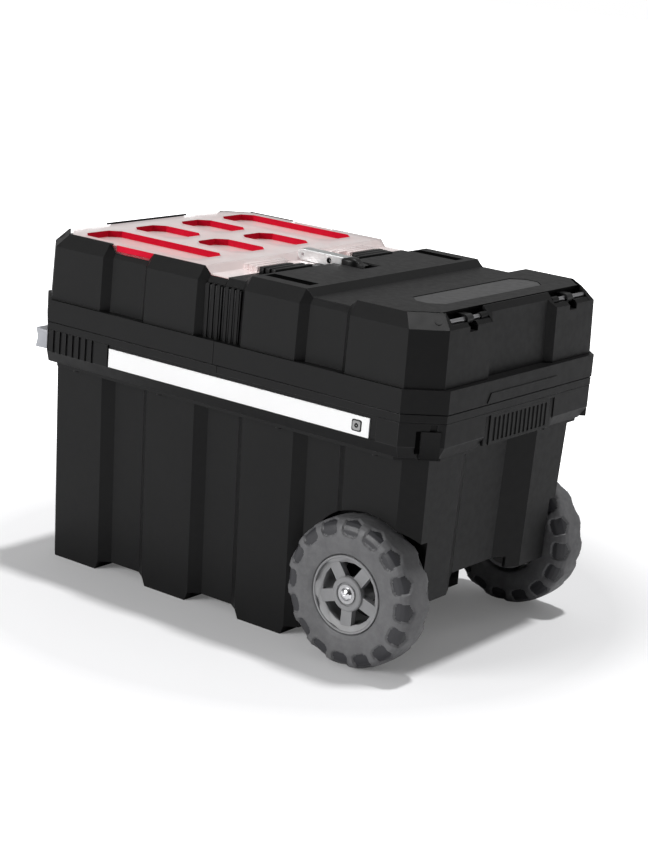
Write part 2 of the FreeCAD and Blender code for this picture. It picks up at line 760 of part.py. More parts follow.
def clear_lid():
    """The clear lid of the left module with its six sunk pockets and the latch boss."""
    gap, plate = size("half_gap"), size("clear_plate")
    top, base = size("deck_height"), size("lid_ledge") + size("lid_seat_gap")
    floor = top - size("panel_depth")
    slope, middle = size("panel_slope"), size("middle_gap")
    end = size("deck_half_length") - size("rim_edge") - size("lid_end_gap")

    def profile(shift, drop):
        return [(-gap - shift, base - drop), (-gap - shift, floor - drop), (slope - middle - drop / 2, floor - drop),
                (-middle - drop / 2, top - drop), (shift - end - size("lid_plate"), top - drop),
                (shift - end, top - drop - size("lid_end_gap")), (shift - end, base - drop)]

    outline = prism(deck_ring(size("rim_edge") + size("lid_side_gap")), 0, 2 * top)
    inside = prism(deck_ring(size("rim_edge") + size("lid_side_gap") + plate), 0, 2 * top)
    body = beam(profile(0, 0), size("deck_half_width")).common(outline)
    body = body.cut(beam(profile(plate, plate), size("deck_half_width")).common(inside))
    arms, bores = lid_arms(end)
    deep = top - size("pocket_depth")
    corner = size("pocket_corner")
    shells = [cell(place_of, corner, size("pocket_wall"), deep - plate, top) for place_of in pockets()]
    wells = [cell(place_of, corner, 0, deep, top + plate) for place_of in pockets()]
    body = body.cut([mirrored_x(wedge) for wedge in corner_relief()])
    body = body.fuse([mirrored_x(arm) for arm in arms] + shells + [latch_boss()])
    pivot = pin_hole(size("latch_pin_radius"), -size("latch_width"), size("latch_width"),
                     -size("latch_pivot_from_joint"), size("deck_height"))
    return body.cut([mirrored_x(bore) for bore in bores] + wells + [pivot] + insert_strips()).removeSplitter()


def latch_boss():
    """The rounded boss on the clear lid that carries the latch pin."""
    half = size("latch_width") / 2 - size("latch_sheet") - size("boss_gap")
    x, z = -size("latch_pivot_from_joint"), size("deck_height")
    radius = size("latch_end_radius") - size("latch_sheet") - size("boss_gap")
    post = box(x - radius, x + radius, -half, half, size("deck_height") - size("panel_depth") - size("clear_plate"), z)
    return post.fuse(pin_hole(radius, -half, half, x, z))


def insert_strips():
    """Red strips in the long edges of the clear lid, over the recesses of the frame."""
    y = size("deck_half_width") - size("rim_edge") - size("lid_side_gap")
    half = size("insert_length") / 2
    strip = box(-size("insert_centre") - half, -size("insert_centre") + half, y - size("clear_plate") / 2, y,
                size("deck_height") - size("panel_depth") + 0.2, size("deck_height") - 0.4)
    return both_sides(strip)


def bins():
    """The organizer's open red bins by name: one long and two short in each row."""
    low = size("floor_under") + size("module_wall")
    high = size("deck_height") - size("clear_plate") - size("lid_seat_gap")
    wall, corner = size("bin_wall"), size("bin_corner")
    end, start = -size("bin_end"), -size("bin_start")
    spans = {"long": (end, start, size("bin_row_far"), size("bin_side")),
             "left": (end, -size("bin_split_far"), size("bin_middle"), size("bin_row_near")),
             "right": (-size("bin_split_near"), start, size("bin_middle"), size("bin_row_near"))}
    shapes = {}
    for word, (x0, x1, y0, y1) in spans.items():
        for row, place_of in (("front", (x0, x1, -y1, -y0)), ("back", (x0, x1, y0, y1))):
            outside = cell(place_of, corner, 0, low, high)
            shapes[f"bin_{row}_{word}"] = outside.cut(cell(place_of, corner, -wall, low + wall, high + wall))
    return shapes


# --- base --------------------------------------------------------------------------------------

def tub_ring(height, inset=0):
    """The ribbed outline of the tub at a height."""
    share = 1 - height / size("collar_low")
    far, near, gap, shift = size("tub_gap_far"), size("tub_gap_near"), size("tub_middle_gap"), size("tub_gap_shift")
    gaps = ((-far - shift, -near - shift), (-gap - shift, gap - shift), (near - shift, far - shift))
    outline = ring(size("tub_half_length") - share * size("tub_end_lean"),
                   size("tub_half_width") - share * size("tub_lean"), size("tub_corner"),
                   (gaps, size("tub_recess"), size("tub_slope")),
                   (((-size("tub_end_gap"), size("tub_end_gap")),), size("tub_end_recess"), size("tub_end_slope")),
                   inset)
    return pushed_out(outline, size("tub_half_length"), share * size("tub_end_lean") + size("tub_handle_reach"))


def pushed_out(outline, half_length, reach):
    """The same outline with its handle end moved outwards by so much."""
    near = -0.8 * half_length
    return [(x - reach, y) if x < near else (x, y) for x, y in outline]


def wheel_pockets(grow):
    """The spaces beside the tub that the wheels stand in."""
    x, z, radius = size("arch_centre"), size("arch_height"), size("arch_radius") + grow
    inner = size("well_inner") - grow
    reach = 2 * size("tub_half_width")
    arch = pin_hole(radius, inner, reach, x, z)
    below = box(x - radius, x + radius, inner, reach, -grow, z)
    return both_sides(arch.fuse(below))


def tub():
    """The ribbed tub with its feet, its flange, the raised bay and the wells for the wheels."""
    wall, top = size("tub_wall"), size("collar_low")
    reach = 2 * size("tub_half_length")
    bay_start, bay_height, side = size("bay_start"), size("bay_height"), size("well_inner") - wall
    outside = taper(tub_ring(0), 0, tub_ring(top), top)
    inside = taper(tub_ring(0, wall), 0, tub_ring(top, wall), top)
    store = inside.cut([box(-reach, reach, -reach, reach, -1, size("tub_foot") + wall),
                        box(bay_start - wall, reach, -reach, reach, 0, bay_height + wall)] + wheel_pockets(wall))
    recess = size("tub_end_gap") - size("tub_end_slope") / 2
    bay = [inside.common(box(bay_start, reach, -side, side, 0, bay_height)),
           box(bay_start, reach, -reach, reach, -1, size("end_wall_foot")),
           box(size("tub_half_length") - 3 * size("tub_end_recess"), reach, -recess, recess,
               -1, size("end_recess_foot"))]
    shell = outside.cut([store, under_cut()] + bay + wheel_pockets(0))
    ledge = size("flange_reach") - size("tub_half_width")
    rim = ring(size("tub_half_length") + ledge, size("flange_reach"), size("collar_corner"))
    flange = prism(rim, top - size("flange_thick"), top)
    grip = size("grip_bay_half_width")
    bay_edge = size("tub_half_length") - size("tub_end_recess")
    flange = flange.cut([prism(tub_ring(top, wall), 0, 2 * top), box(bay_edge, reach, -grip, grip, 0, 2 * top),
                         box(-reach, -bay_edge - size("tub_handle_reach"), -grip, grip, 0, 2 * top)])
    axle_x, axle_z = size("axle_x"), size("tyre_radius")
    bosses = both_sides(pin_hole(size("axle_boss_radius"), side - 3 * wall, side + 2 * wall, axle_x, axle_z))
    bore = pin_hole(size("axle_radius"), -reach, reach, axle_x, axle_z)
    holes = [Part.makeCylinder(size("screw_radius"), 3 * size("flange_thick"),
                               Vector(x, y, top - 2 * size("flange_thick"))) for x, y in screw_places()]
    return shell.fuse([flange] + bosses).cut([bore] + holes).removeSplitter()


def under_cut():
    """The space under the tub's floor, between the feet that its ribs run down into."""
    foot, reach = size("tub_foot"), 2 * size("tub_half_length")
    deep = size("tub_half_width") - size("tub_lean") - size("foot_depth")
    slab = box(-reach, reach, -reach, reach, -1, foot)
    feet = []
    far, near, gap, shift = size("tub_gap_far"), size("tub_gap_near"), size("tub_middle_gap"), size("tub_gap_shift")
    spans = ((-reach, -far - shift), (-near - shift, -gap - shift), (gap - shift, near - shift))
    for first, last in spans:
        ramp = [(first, foot), (first + foot / 2, -2), (last - foot / 2, -2), (last, foot)]
        corners = [Vector(x, deep, z) for x, z in ramp]
        leg = Part.Face(Part.makePolygon(corners + corners[:1])).extrude(Vector(0, reach, 0))
        feet += both_sides(leg)
    return slab.cut(feet)


def screw_places():
    places = []
    for x in (size("screw_near"), size("screw_far")):
        for across in (-x, x):
            places += [(across, -size("screw_offset")), (across, size("screw_offset"))]
    return places


def collar():
    """The rim on the tub: hollow from below, with its recesses, slots, ribs and handle openings."""
    low, edge, top = size("collar_low"), size("collar_edge"), size("collar_top")
    half, width, corner = size("collar_half_length"), size("collar_half_width"), size("collar_corner")
    wall, slope = size("collar_wall"), size("collar_slope")
    open_length, open_width = size("collar_open_half_length"), size("collar_open_half_width")
    outside = taper(pushed_out(ring(half, width, corner, inset=slope), half, slope), low,
                    ring(half, width, corner), edge)
    outside = outside.fuse(prism(ring(half, width, corner), edge, top))
    hollow = taper(pushed_out(ring(half, width, corner, inset=slope + wall), half, slope), low,
                   ring(half, width, corner, inset=wall), edge)
    hollow = hollow.fuse(prism(ring(half, width, corner, inset=wall), edge, top - wall))
    core = prism(ring(open_length, open_width, corner, inset=-wall), 0, 2 * top)
    posts = [Part.makeCylinder(size("post_radius"), top - low, Vector(x, y, low)) for x, y in screw_places()]
    pilots = [Part.makeCylinder(size("screw_radius"), size("screw_length"), Vector(x, y, low))
              for x, y in screw_places()]
    ribs = []
    for x in (size("sleeve_rib_near"), size("sleeve_rib_far")):
        ribs += both_sides(box(x, x + wall, open_width + wall / 2, width - 2 * wall, low + 2 * wall, top - wall / 2))
    shell = outside.cut([hollow.cut(core), prism(ring(open_length, open_width, corner), 0, 2 * top)])
    shell = shell.fuse([post.common(outside) for post in posts] + ribs + [handle_recess(wall).common(outside)])
    cuts = pilots + label_recesses() + rib_grooves() + corner_slots() + handle_openings()
    return shell.cut(cuts).removeSplitter()


def label_recesses():
    x, y = size("recess_start"), size("collar_half_width")
    return both_sides(box(x, x + size("recess_length"), y - size("recess_depth"), 2 * y,
                          size("collar_edge"), size("collar_top") + 1))


def rib_grooves():
    """The field of upright ribs on the collar at the handle end."""
    grooves = []
    y = size("collar_half_width")
    for i in range(int(size("rib_count"))):
        x = size("rib_field_start") + i * size("rib_pitch")
        grooves += both_sides(box(x, x + size("rib_groove"), y - size("recess_depth"), 2 * y,
                                  size("collar_edge"), size("collar_top") + 1))
    return grooves


def corner_slots():
    """One upright slot in each corner facet of the collar."""
    half = size("corner_slot_width") / 2
    depth = size("corner_slot_depth")
    corner = size("collar_corner")
    x = size("collar_half_length") - corner / 2 + size("corner_slot_shift")
    y = size("collar_half_width") - corner / 2 - size("corner_slot_shift")
    slot = box(-half, half, -depth, corner, size("collar_edge") - 6, size("collar_top") - size("crease_depth"))
    slot.rotate(Vector(), Vector(0, 0, 1), -45)
    slot.translate(Vector(x, y, 0))
    pair = both_sides(slot)
    return pair + [mirrored_x(shape) for shape in pair]


def handle_recess(grow):
    """The recess in the handle end that the grip lies in."""
    gap, half = size("handle_gap") + grow, size("handle_half_width")
    return box(-size("handle_outer"), gap - size("handle_inner"), -half - gap, half + gap,
               size("handle_low") - gap, size("handle_high") + gap)


def handle_openings():
    """Finger opening, recess and sleeve holes at the handle end, and the bay of the lift grip."""
    wall, half = size("collar_wall"), size("collar_half_length")
    low, top = size("collar_low"), size("collar_top")
    fingers = size("handle_half_width") - size("handle_block") - 4 * wall
    x = half + wall
    deep = size("collar_open_half_length") + 2 * wall
    finger_hole = box(-x, -deep, -fingers, fingers, low - wall, size("handle_waist_high"))
    bay = size("grip_bay_half_width")
    grip_bay = box(deep, x, -bay, bay, low - wall, top - wall)
    outer = size("tube_radius") + size("sleeve_fit") + size("sleeve_wall")
    start = size("handle_gap") - size("handle_inner")
    holes = [Part.makeCylinder(outer, size("sleeve_length"), Vector(start, y, size("tube_height")), Vector(1, 0, 0))
             for y in (-size("tube_offset"), size("tube_offset"))]
    return [finger_hole, grip_bay, handle_recess(0)] + holes


def lift_grip():
    """The ribbed lift handle in the wheel end of the collar, open from below for the fingers."""
    half, outer = size("lift_grip_half_width"), size("collar_half_length")
    low, top = size("collar_low"), size("collar_top") - size("collar_wall")
    wall, depth = size("collar_wall"), size("lift_grip_depth")
    front = box(outer - depth, outer, -half, half, low + wall, top)
    hollow = box(outer - depth - wall, outer - wall, wall - half, half - wall, low - wall, top - wall)
    tab = box(outer - 2 * wall, outer - wall, half, size("grip_bay_half_width") + wall, top - 4 * wall, top)
    pitch, groove, depth = size("lift_rib_pitch"), size("lift_rib_groove"), size("lift_rib_depth")
    count = int((2 * half - pitch) // pitch)
    grooves = []
    for i in range(count):
        y = (i - count / 2) * pitch + (pitch - groove) / 2
        grooves.append(box(outer - depth, outer + depth, y, y + groove, low + 2 * wall, top - wall))
    return front.fuse(both_sides(tab)).cut([hollow] + grooves).removeSplitter()


# --- wheels ------------------------------------------------------------------------------------

def pattern(body, features, count):
    """Repeat features of a body evenly around the Y axis."""
    turn = body.newObject("PartDesign::PolarPattern", body.Name + "_pattern")
    turn.Originals = features
    turn.Axis = (next(item for item in body.Origin.OriginFeatures if item.Role == "Y_Axis"), [""])
    turn.Angle = 360
    bind(turn, "Occurrences", count)
    body.Tip = turn


def pocket(body, plane, points, length):
    """A pocket cut to both sides of its plane."""
    drawing = body_sketch(body, plane, points)
    opening = body.newObject("PartDesign::Pocket", drawing.Name + "_cut")
    opening.Profile = drawing
    bind(opening, "Length", length)
    opening.SideType = "Symmetric"
    return opening


def tyre():
    """The solid tyre of the rear wheel, with notches in both shoulders of its tread."""
    inner = "tyre_outer - tyre_width"
    side = [(f"{inner} + 3", "tyre_bore"), ("tyre_outer - 6", "tyre_bore"), ("tyre_outer - 6", "rim_radius"),
            ("tyre_outer - 2", "rim_radius + 2"), ("tyre_outer", "tyre_radius - 31"),
            ("tyre_outer", "tyre_radius - 17"), ("tyre_outer - 2.5", "tyre_radius - 8"),
            ("tyre_outer - 8", "tyre_radius - 1.8"), ("tyre_outer - 14", "tyre_radius"),
            (f"{inner} + 14", "tyre_radius"), (f"{inner} + 8", "tyre_radius - 1.8"),
            (f"{inner} + 2.5", "tyre_radius - 8"), (inner, "tyre_radius - 17"), (inner, "tyre_radius - 31"),
            (f"{inner} + 3", "rim_radius + 2")]
    body = turned("tyre_body", side)
    outer_notch = [("tyre_outer - 15", "tyre_radius + 1"), ("tyre_outer - 9", "tyre_radius - 5"),
                   ("tyre_outer - 4", "tyre_radius - 15"), ("tyre_outer + 1", "tyre_radius - 16"),
                   ("tyre_outer + 1", "tyre_radius + 1")]
    inner_notch = [(f"{inner} + 15", "tyre_radius + 1"), (f"{inner} + 9", "tyre_radius - 5"),
                   (f"{inner} + 4", "tyre_radius - 15"), (f"{inner} - 1", "tyre_radius - 16"),
                   (f"{inner} - 1", "tyre_radius + 1")]
    notches = [pocket(body, "YZ_Plane", points, "tread_notch_width") for points in (outer_notch, inner_notch)]
    pattern(body, notches, "tread_notches")
    return body


def hub():
    """The spoked hub of the rear wheel: boss, pierced plate and double-lipped ring."""
    bore = "axle_radius + hub_bore_fit + bush_wall"
    ring_start = "tyre_outer - tyre_width + 3"
    side = [("hub_inner", bore), ("hub_outer", bore), ("hub_outer", "boss_radius"), ("plate_outer", "boss_radius"),
            ("plate_outer", "hub_ring"), ("tyre_outer - 2.7", "hub_ring"), ("tyre_outer - 2.7", "rim_radius"),
            ("tyre_outer - 6", "rim_radius"), ("tyre_outer - 6", "tyre_bore"), (ring_start, "tyre_bore"),
            (ring_start, "hub_ring"), ("plate_inner", "hub_ring"), ("plate_inner", "boss_radius"),
            ("hub_inner", "boss_radius")]
    body = turned("hub_body", side)
    turn = 2
    corners = [("window_outer", 8.7), ("window_outer", 27), ("window_outer", 45), ("window_outer", 63.3),
               ("window_inner", 54.2), ("window_inner", 36), ("window_inner", 17.8)]
    points = [(f"{radius} * cos({angle + turn} deg)", f"{radius} * sin({angle + turn} deg)")
              for radius, angle in corners]
    window = pocket(body, "XZ_Plane", points, "3 * tyre_outer")
    pattern(body, [window], "spoke_count")
    return body


def make_wheels():
    """Both wheels: the rear one is modelled and the front one is its mirror image."""
    bush = turned("bush_body", [("hub_inner", "axle_radius + hub_bore_fit"), ("hub_outer", "axle_radius + hub_bore_fit"),
                                ("hub_outer", "axle_radius + hub_bore_fit + bush_wall"),
                                ("hub_inner", "axle_radius + hub_bore_fit + bush_wall")])
    for word, item in (("tyre", tyre()), ("hub", hub()), ("hub_bush", bush)):
        place("back_" + word, item, at=AXLE)
        place("front_" + word, mirror(word + "_mirror", item, (0, 1, 0)), at=AXLE)


def make_axle():
    """The axle with the spacers, washers and caps that hold the wheels in place."""
    place("axle", rod("axle_rod", "axle_radius", "2 * axle_half_length", ("0", "-axle_half_length", "0"), (0, 1, 0)),
          at=AXLE)
    spacer = turned("spacer_body", [("spacer_start", "axle_radius"), ("spacer_end", "axle_radius"),
                                    ("spacer_end", "spacer_radius"), ("spacer_start", "spacer_radius")])
    washer = turned("washer_body", [("washer_start", "axle_radius"), ("washer_end", "axle_radius"),
                                    ("washer_end", "washer_radius"), ("washer_start", "washer_radius")])
    cap = turned("cap_body", [("washer_end", "axle_radius"), ("washer_end", "cap_radius"),
                              ("cap_end - 3.4", "cap_radius"), ("cap_end - 1.4", "cap_radius - 1.8"),
                              ("cap_end - 0.3", "cap_radius - 4.5"), ("cap_end", "0"), ("axle_half_length", "0"),
                              ("axle_half_length", "axle_radius")])
    for label, item in (("wheel_spacers", spacer), ("axle_washers", washer), ("axle_caps", cap)):
        place(label, item, mirror(item.Name + "_mirror", item, (0, 1, 0)), at=AXLE)


# --- rails, handle, latch and small pieces -------------------------------------------------------

def quarters(label, name, item):
    """A node of four pieces: one and its mirror images across both upright middle planes."""
    across = mirror(name + "_across", item, (0, 1, 0))
    along = mirror(name + "_along", item, (1, 0, 0))
    both = mirror(name + "_both", across, (1, 0, 0))
    place(label, item, across, along, both)


def make_rails():
    """The rails on the collar, the runners that grip them and the blocks that stop the runners."""
    top, web, foot, head = "collar_top", "rail_web / 2", "rail_foot / 2", "rail_head / 2"
    low_flange, high_flange = f"{top} + rail_flange", f"{top} + rail_height - rail_flange"
    half = [(foot, top), (foot, low_flange), (web, low_flange), (web, high_flange), (head, high_flange),
            (head, f"{top} + rail_height")]
    outline = half + [(f"-({y})", z) for y, z in reversed(half)]
    rail = bar("rail_body", "YZ_Plane", [(f"rail_offset + {y}", z) for y, z in outline], "2 * rail_half_length")
    place("slide_rails", rail, mirror("rail_mirror", rail, (0, 1, 0)))

    side, grip = "runner_width / 2", f"{head} + runner_gap"
    lip, roof = f"{high_flange} - runner_gap", f"{top} + rail_height + runner_gap"
    half = [(side, "floor_under"), (side, f"{lip} - 2.5"), (f"{web} + runner_gap", f"{lip} - 2.5"),
            (f"{web} + runner_gap", lip), (grip, lip), (grip, roof)]
    outline = half + [(f"-({y})", z) for y, z in reversed(half)]
    profile = [(f"rail_offset + {y}", z) for y, z in outline]
    outer = bar("outer_runner", "YZ_Plane", profile, "runner_length")
    inner = bar("inner_runner", "YZ_Plane", profile, "runner_length")
    bind(outer, "Placement.Base.x", "body_half_length - runner_inset - runner_length / 2")
    bind(inner, "Placement.Base.x", "runner_near + runner_length / 2")
    storage = [outer, mirror("outer_across", outer, (0, 1, 0)), inner, mirror("inner_across", inner, (0, 1, 0))]
    place("storage_runners", *storage)
    place("organizer_runners", *[mirror(item.Name + "_left", item, (1, 0, 0)) for item in storage])

    end = "body_half_length - runner_inset - runner_length - stop_margin"
    stop = block("stop_block", (f"{end} - stop_length", "rail_offset - rail_foot / 2 - 0.4 - stop_width", top),
                 (end, "rail_offset - rail_foot / 2 - 0.4", f"{top} + stop_height"))
    quarters("stop_blocks", "stop", stop)


def make_handle():
    """The pull handle: two tubes with end plugs that run in sleeves, and the grip across them."""
    tubes, plugs, sleeves, ends = [], [], [], []
    start = "-handle_inner - handle_grip_depth"
    for side, sign in (("front", "-"), ("back", "")):
        along = (start, f"{sign}tube_offset", "tube_height")
        outer = rod(side + "_tube_outer", "tube_radius", "tube_length", along, (1, 0, 0))
        inner = rod(side + "_tube_inner", "tube_radius - tube_wall", "tube_length", along, (1, 0, 0))
        tubes.append(cut(side + "_tube", outer, inner))
        plugs.append(rod(side + "_tube_plug", "tube_radius - tube_wall", "tube_plug_length",
                         (f"{start} + tube_length - tube_plug_length", f"{sign}tube_offset", "tube_height"), (1, 0, 0)))
        ends.append(rod(side + "_tube_seat", "tube_radius", "tube_length", along, (1, 0, 0)))
        along = ("handle_gap - handle_inner", f"{sign}tube_offset", "tube_height")
        outer = rod(side + "_sleeve_outer", "tube_radius + sleeve_fit + sleeve_wall", "sleeve_length", along, (1, 0, 0))
        inner = rod(side + "_sleeve_inner", "tube_radius + sleeve_fit", "sleeve_length", along, (1, 0, 0))
        sleeves.append(cut(side + "_sleeve", outer, inner))
    place("handle_tubes", *tubes)
    place("handle_tube_plugs", *plugs)
    place("handle_sleeves", *sleeves)

    outer, inner = "-handle_outer", "-handle_inner"
    middle = block("grip_bar", (outer, "-handle_half_width", "handle_waist_low"),
                   (f"{outer} + handle_bar_thick", "handle_half_width", "handle_waist_high"))
    front = block("grip_front", (outer, "-handle_half_width", "handle_low"),
                  (inner, "handle_block - handle_half_width", "handle_high"))
    back = mirror("grip_back", front, (0, 1, 0))
    place("handle_grip", cut("grip", fuse("grip_whole", middle, front, back), *ends))


def make_latch():
    """The metal latch with its pin and thumb grip, and the padlock lug that it covers."""
    x, z = "-latch_pivot_from_joint", "deck_height"
    half, sheet, top = "latch_width / 2", "latch_sheet", "latch_top"
    low = "deck_height - panel_depth + latch_floor_gap"
    channel = block("latch_channel", (x, f"-({half})", low), ("latch_reach", half, top))
    end = rod("latch_end", "latch_end_radius", "latch_width", (x, f"-({half})", z), (0, 1, 0))
    inside = block("latch_inside", (f"{x} - 2 * latch_end_radius", f"{sheet} - {half}", f"{low} - 9"),
                   ("latch_reach + 1", f"{half} - {sheet}", f"{top} + 1"))
    above = block("latch_above", (f"{x} - 2 * latch_end_radius", f"-({half}) - 1", f"{top} - {sheet}"),
                  ("latch_reach + 1", f"{half} + 1", f"{top} + 1"))
    pivot = rod("latch_pivot", "latch_pin_radius + hinge_fit", "2 * latch_width", (x, "-latch_width", z), (0, 1, 0))
    shackle = rod("latch_shackle", "shackle_radius", "2 * latch_width",
                  ("shackle_place", "-latch_width", "shackle_height"), (0, 1, 0))
    place("latch_cheeks", cut("latch_sides", fuse("latch_whole", channel, end), inside, above, pivot, shackle))
    place("latch_plate", block("latch_top_sheet", (x, f"-({half})", f"{top} - {sheet}"), ("latch_reach", half, top)))
    place("latch_pin", rod("latch_pin_rod", "latch_pin_radius", "2 * latch_pin_half",
                           (x, "-latch_pin_half", z), (0, 1, 0)))

    grip = block("thumb_block", ("latch_reach", "-thumb_half_width", "thumb_low"),
                 ("latch_reach + thumb_length", "thumb_half_width", top))
    slot = block("thumb_slot_cut", ("latch_reach - 1", "-thumb_slot", "thumb_low - 1"),
                 ("latch_reach + thumb_length + 1", "thumb_slot", f"{top} - {sheet}"))
    place("latch_thumb_grip", cut("thumb_grip", grip, slot))

    lug = block("lug_block", ("lug_start", "-lug_width / 2", "deck_height - panel_depth"),
                ("lug_end", "lug_width / 2", "lug_top"))
    hole = rod("lug_hole", "shackle_radius", "2 * lug_width", ("shackle_place", "-lug_width", "shackle_height"),
               (0, 1, 0))
    place("padlock_lug", cut("lug", lug, hole))


def make_hinge_pins():
    """The steel pins of both lids, held in the rims of the modules."""
    pin = rod("hinge_pin", "hinge_radius", "hinge_bay_far - hinge_bay_near + 2 * hinge_bore_depth",
              ("body_half_length - hinge_inset", "hinge_bay_near - hinge_bore_depth", "hinge_height"), (0, 1, 0))
    pair = [pin, mirror("hinge_pin_across", pin, (0, 1, 0))]
    place("storage_hinge_pins", *pair)
    place("organizer_hinge_pins", *[mirror(item.Name + "_left", item, (1, 0, 0)) for item in pair])


def make_collar_pieces():
    """The light strips in the collar's long recesses, their end buttons, and the collar's screws."""
    face = "collar_half_width - recess_depth"
    strip = block("back_strip", ("strip_start", face, "strip_low"),
                  ("strip_start + strip_length", f"{face} + strip_thick", "strip_low + strip_height"))
    place("back_label_strip", strip)
    place("front_label_strip", mirror("front_strip", strip, (0, 1, 0)))
    end, middle = "strip_start + strip_length - plug_inset", "strip_low + strip_height / 2"
    button = block("strip_button", (f"{end} - plug_side", f"{face} + strip_thick", f"{middle} - plug_side / 2"),
                   (end, f"{face} + strip_thick + 0.8", f"{middle} + plug_side / 2"))
    place("strip_buttons", button, mirror("strip_button_front", button, (0, 1, 0)))

    screws = []
    under = "collar_low - flange_thick"
    for i, (x, y) in enumerate((("screw_near", "screw_offset"), ("screw_far", "screw_offset"))):
        shank = rod(f"screw_shank_{i}", "screw_radius", "screw_length", (x, y, under), (0, 0, 1))
        head = rod(f"screw_head_{i}", "screw_head_radius", "screw_head_height",
                   (x, y, f"{under} - screw_head_height"), (0, 0, 1))
        screws.append(fuse(f"screw_{i}", shank, head))
    pieces = []
    for item in screws:
        across = mirror(item.Name + "_across", item, (0, 1, 0))
        pieces += [item, across, mirror(item.Name + "_along", item, (1, 0, 0)),
                   mirror(item.Name + "_both", across, (1, 0, 0))]
    place("collar_screws", *pieces)


AXLE = ("axle_x", "0", "tyre_radius")

plugs = Part.Compound(corner_plugs())
for label, shape in (("tub", tub()), ("collar", collar()), ("lift_grip", lift_grip()),
                     ("storage_tray", tray(1)), ("organizer_tray", tray(-1)),
                     ("storage_skirt", skirt_band(1)), ("organizer_skirt", skirt_band(-1)),
                     ("storage_lid", storage_lid()), ("lid_inlay", lid_inlay()), ("clear_lid", clear_lid()),
                     ("latch_shelf", latch_shelf()),
                     ("lid_edge_inserts", Part.Compound(insert_strips())),
                     ("storage_corner_plugs", plugs), ("organizer_corner_plugs", mirrored_x(plugs))):
    place(label, solid(label + "_shape", shape))
for label, shape in bins().items():
    place(label, solid(label + "_shape", shape))
make_collar_pieces()
make_rails()
make_handle()
make_hinge_pins()
make_latch()
make_axle()
make_wheels()
doc.recompute()

for item in doc.Objects:
    if "Invalid" in item.State or "Error" in item.State:
        raise RuntimeError(f"{item.Name} failed: {item.State}")
os.makedirs("parts", exist_ok=True)
for node in NODES:
    if node.Shape.isNull() or not node.Shape.isValid():
        raise RuntimeError(f"{node.Label} has no valid shape")
    node.Shape.exportStep(f"parts/{node.Label}.step")
    bounds = node.Shape.BoundBox
    print(f"{node.Label:24s} solids {len(node.Shape.Solids):2d} volume {node.Shape.Volume / 1000:9.2f} cm3 "
          f"x {bounds.XMin:8.2f} {bounds.XMax:8.2f} y {bounds.YMin:8.2f} {bounds.YMax:8.2f} "
          f"z {bounds.ZMin:7.2f} {bounds.ZMax:7.2f}")
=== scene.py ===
import json
import math

import bmesh
import bpy
from mathutils import Matrix, Vector

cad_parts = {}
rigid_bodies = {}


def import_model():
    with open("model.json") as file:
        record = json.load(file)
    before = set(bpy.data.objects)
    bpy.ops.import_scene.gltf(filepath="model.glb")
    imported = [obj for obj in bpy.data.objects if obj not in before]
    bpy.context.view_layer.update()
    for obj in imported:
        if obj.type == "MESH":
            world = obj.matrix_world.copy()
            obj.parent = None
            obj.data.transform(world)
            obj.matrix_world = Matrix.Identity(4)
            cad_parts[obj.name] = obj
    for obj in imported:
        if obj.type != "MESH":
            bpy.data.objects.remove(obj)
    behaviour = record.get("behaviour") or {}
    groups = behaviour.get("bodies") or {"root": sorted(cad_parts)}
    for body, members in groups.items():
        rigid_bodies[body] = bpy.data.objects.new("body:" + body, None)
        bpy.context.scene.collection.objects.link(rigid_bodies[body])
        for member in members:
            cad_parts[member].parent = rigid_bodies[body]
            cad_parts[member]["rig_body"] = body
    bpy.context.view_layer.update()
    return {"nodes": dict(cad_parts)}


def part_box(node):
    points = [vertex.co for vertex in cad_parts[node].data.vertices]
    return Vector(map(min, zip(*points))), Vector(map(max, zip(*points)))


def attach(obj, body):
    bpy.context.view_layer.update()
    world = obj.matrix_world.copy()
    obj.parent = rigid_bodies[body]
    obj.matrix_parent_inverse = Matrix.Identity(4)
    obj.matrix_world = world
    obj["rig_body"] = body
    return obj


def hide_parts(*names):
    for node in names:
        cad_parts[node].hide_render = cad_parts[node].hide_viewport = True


# Looks of a rolling jobsite storage box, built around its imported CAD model. Metres, +Z up,
# +X towards the wheels, the front faces -Y. Lists of points and of small parts are in millimetres.

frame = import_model()
NODES = frame["nodes"]
MM = 0.001
MODULE_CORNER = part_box("organizer_tray")[1]
JOIN = MODULE_CORNER.x + 0.3 * MM  # the plane in the middle of the gap between the two upper modules
DECK = MODULE_CORNER.z  # the level of the modules' rims


# --- mesh helpers --------------------------------------------------------------------------------

WELD = 0.001 * MM  # vertices nearer than this are joined
FLAT_TURN = math.radians(1.0)  # triangles that turn by less than this make one flat face
CURVE_TURN = math.radians(22.0)  # the facets of a curved surface turn by less than this
STRIP_WIDTH = 5 * MM  # the facets of a curved surface are narrower than this
BEVEL_TURN = math.radians(25.0)  # edges that turn by more than this are rounded
BEVEL_REACH = 2.6  # edges shorter than this many widths stay sharp
BEVEL_SEGMENTS = 2
BEVEL_FACE = 1.2  # the faces of a rounded edge are narrower than this many widths
ROUND_PROFILE = 0.5


def link_object(name, data):
    """A new object that shows some data in the scene."""
    made = bpy.data.objects.new(name, data)
    bpy.context.scene.collection.objects.link(made)
    return made


def new_mesh(name, bm):
    """Turn a bmesh into a mesh. The bmesh ends here."""
    mesh = bpy.data.meshes.new(name)
    bm.to_mesh(mesh)
    bm.free()
    return mesh


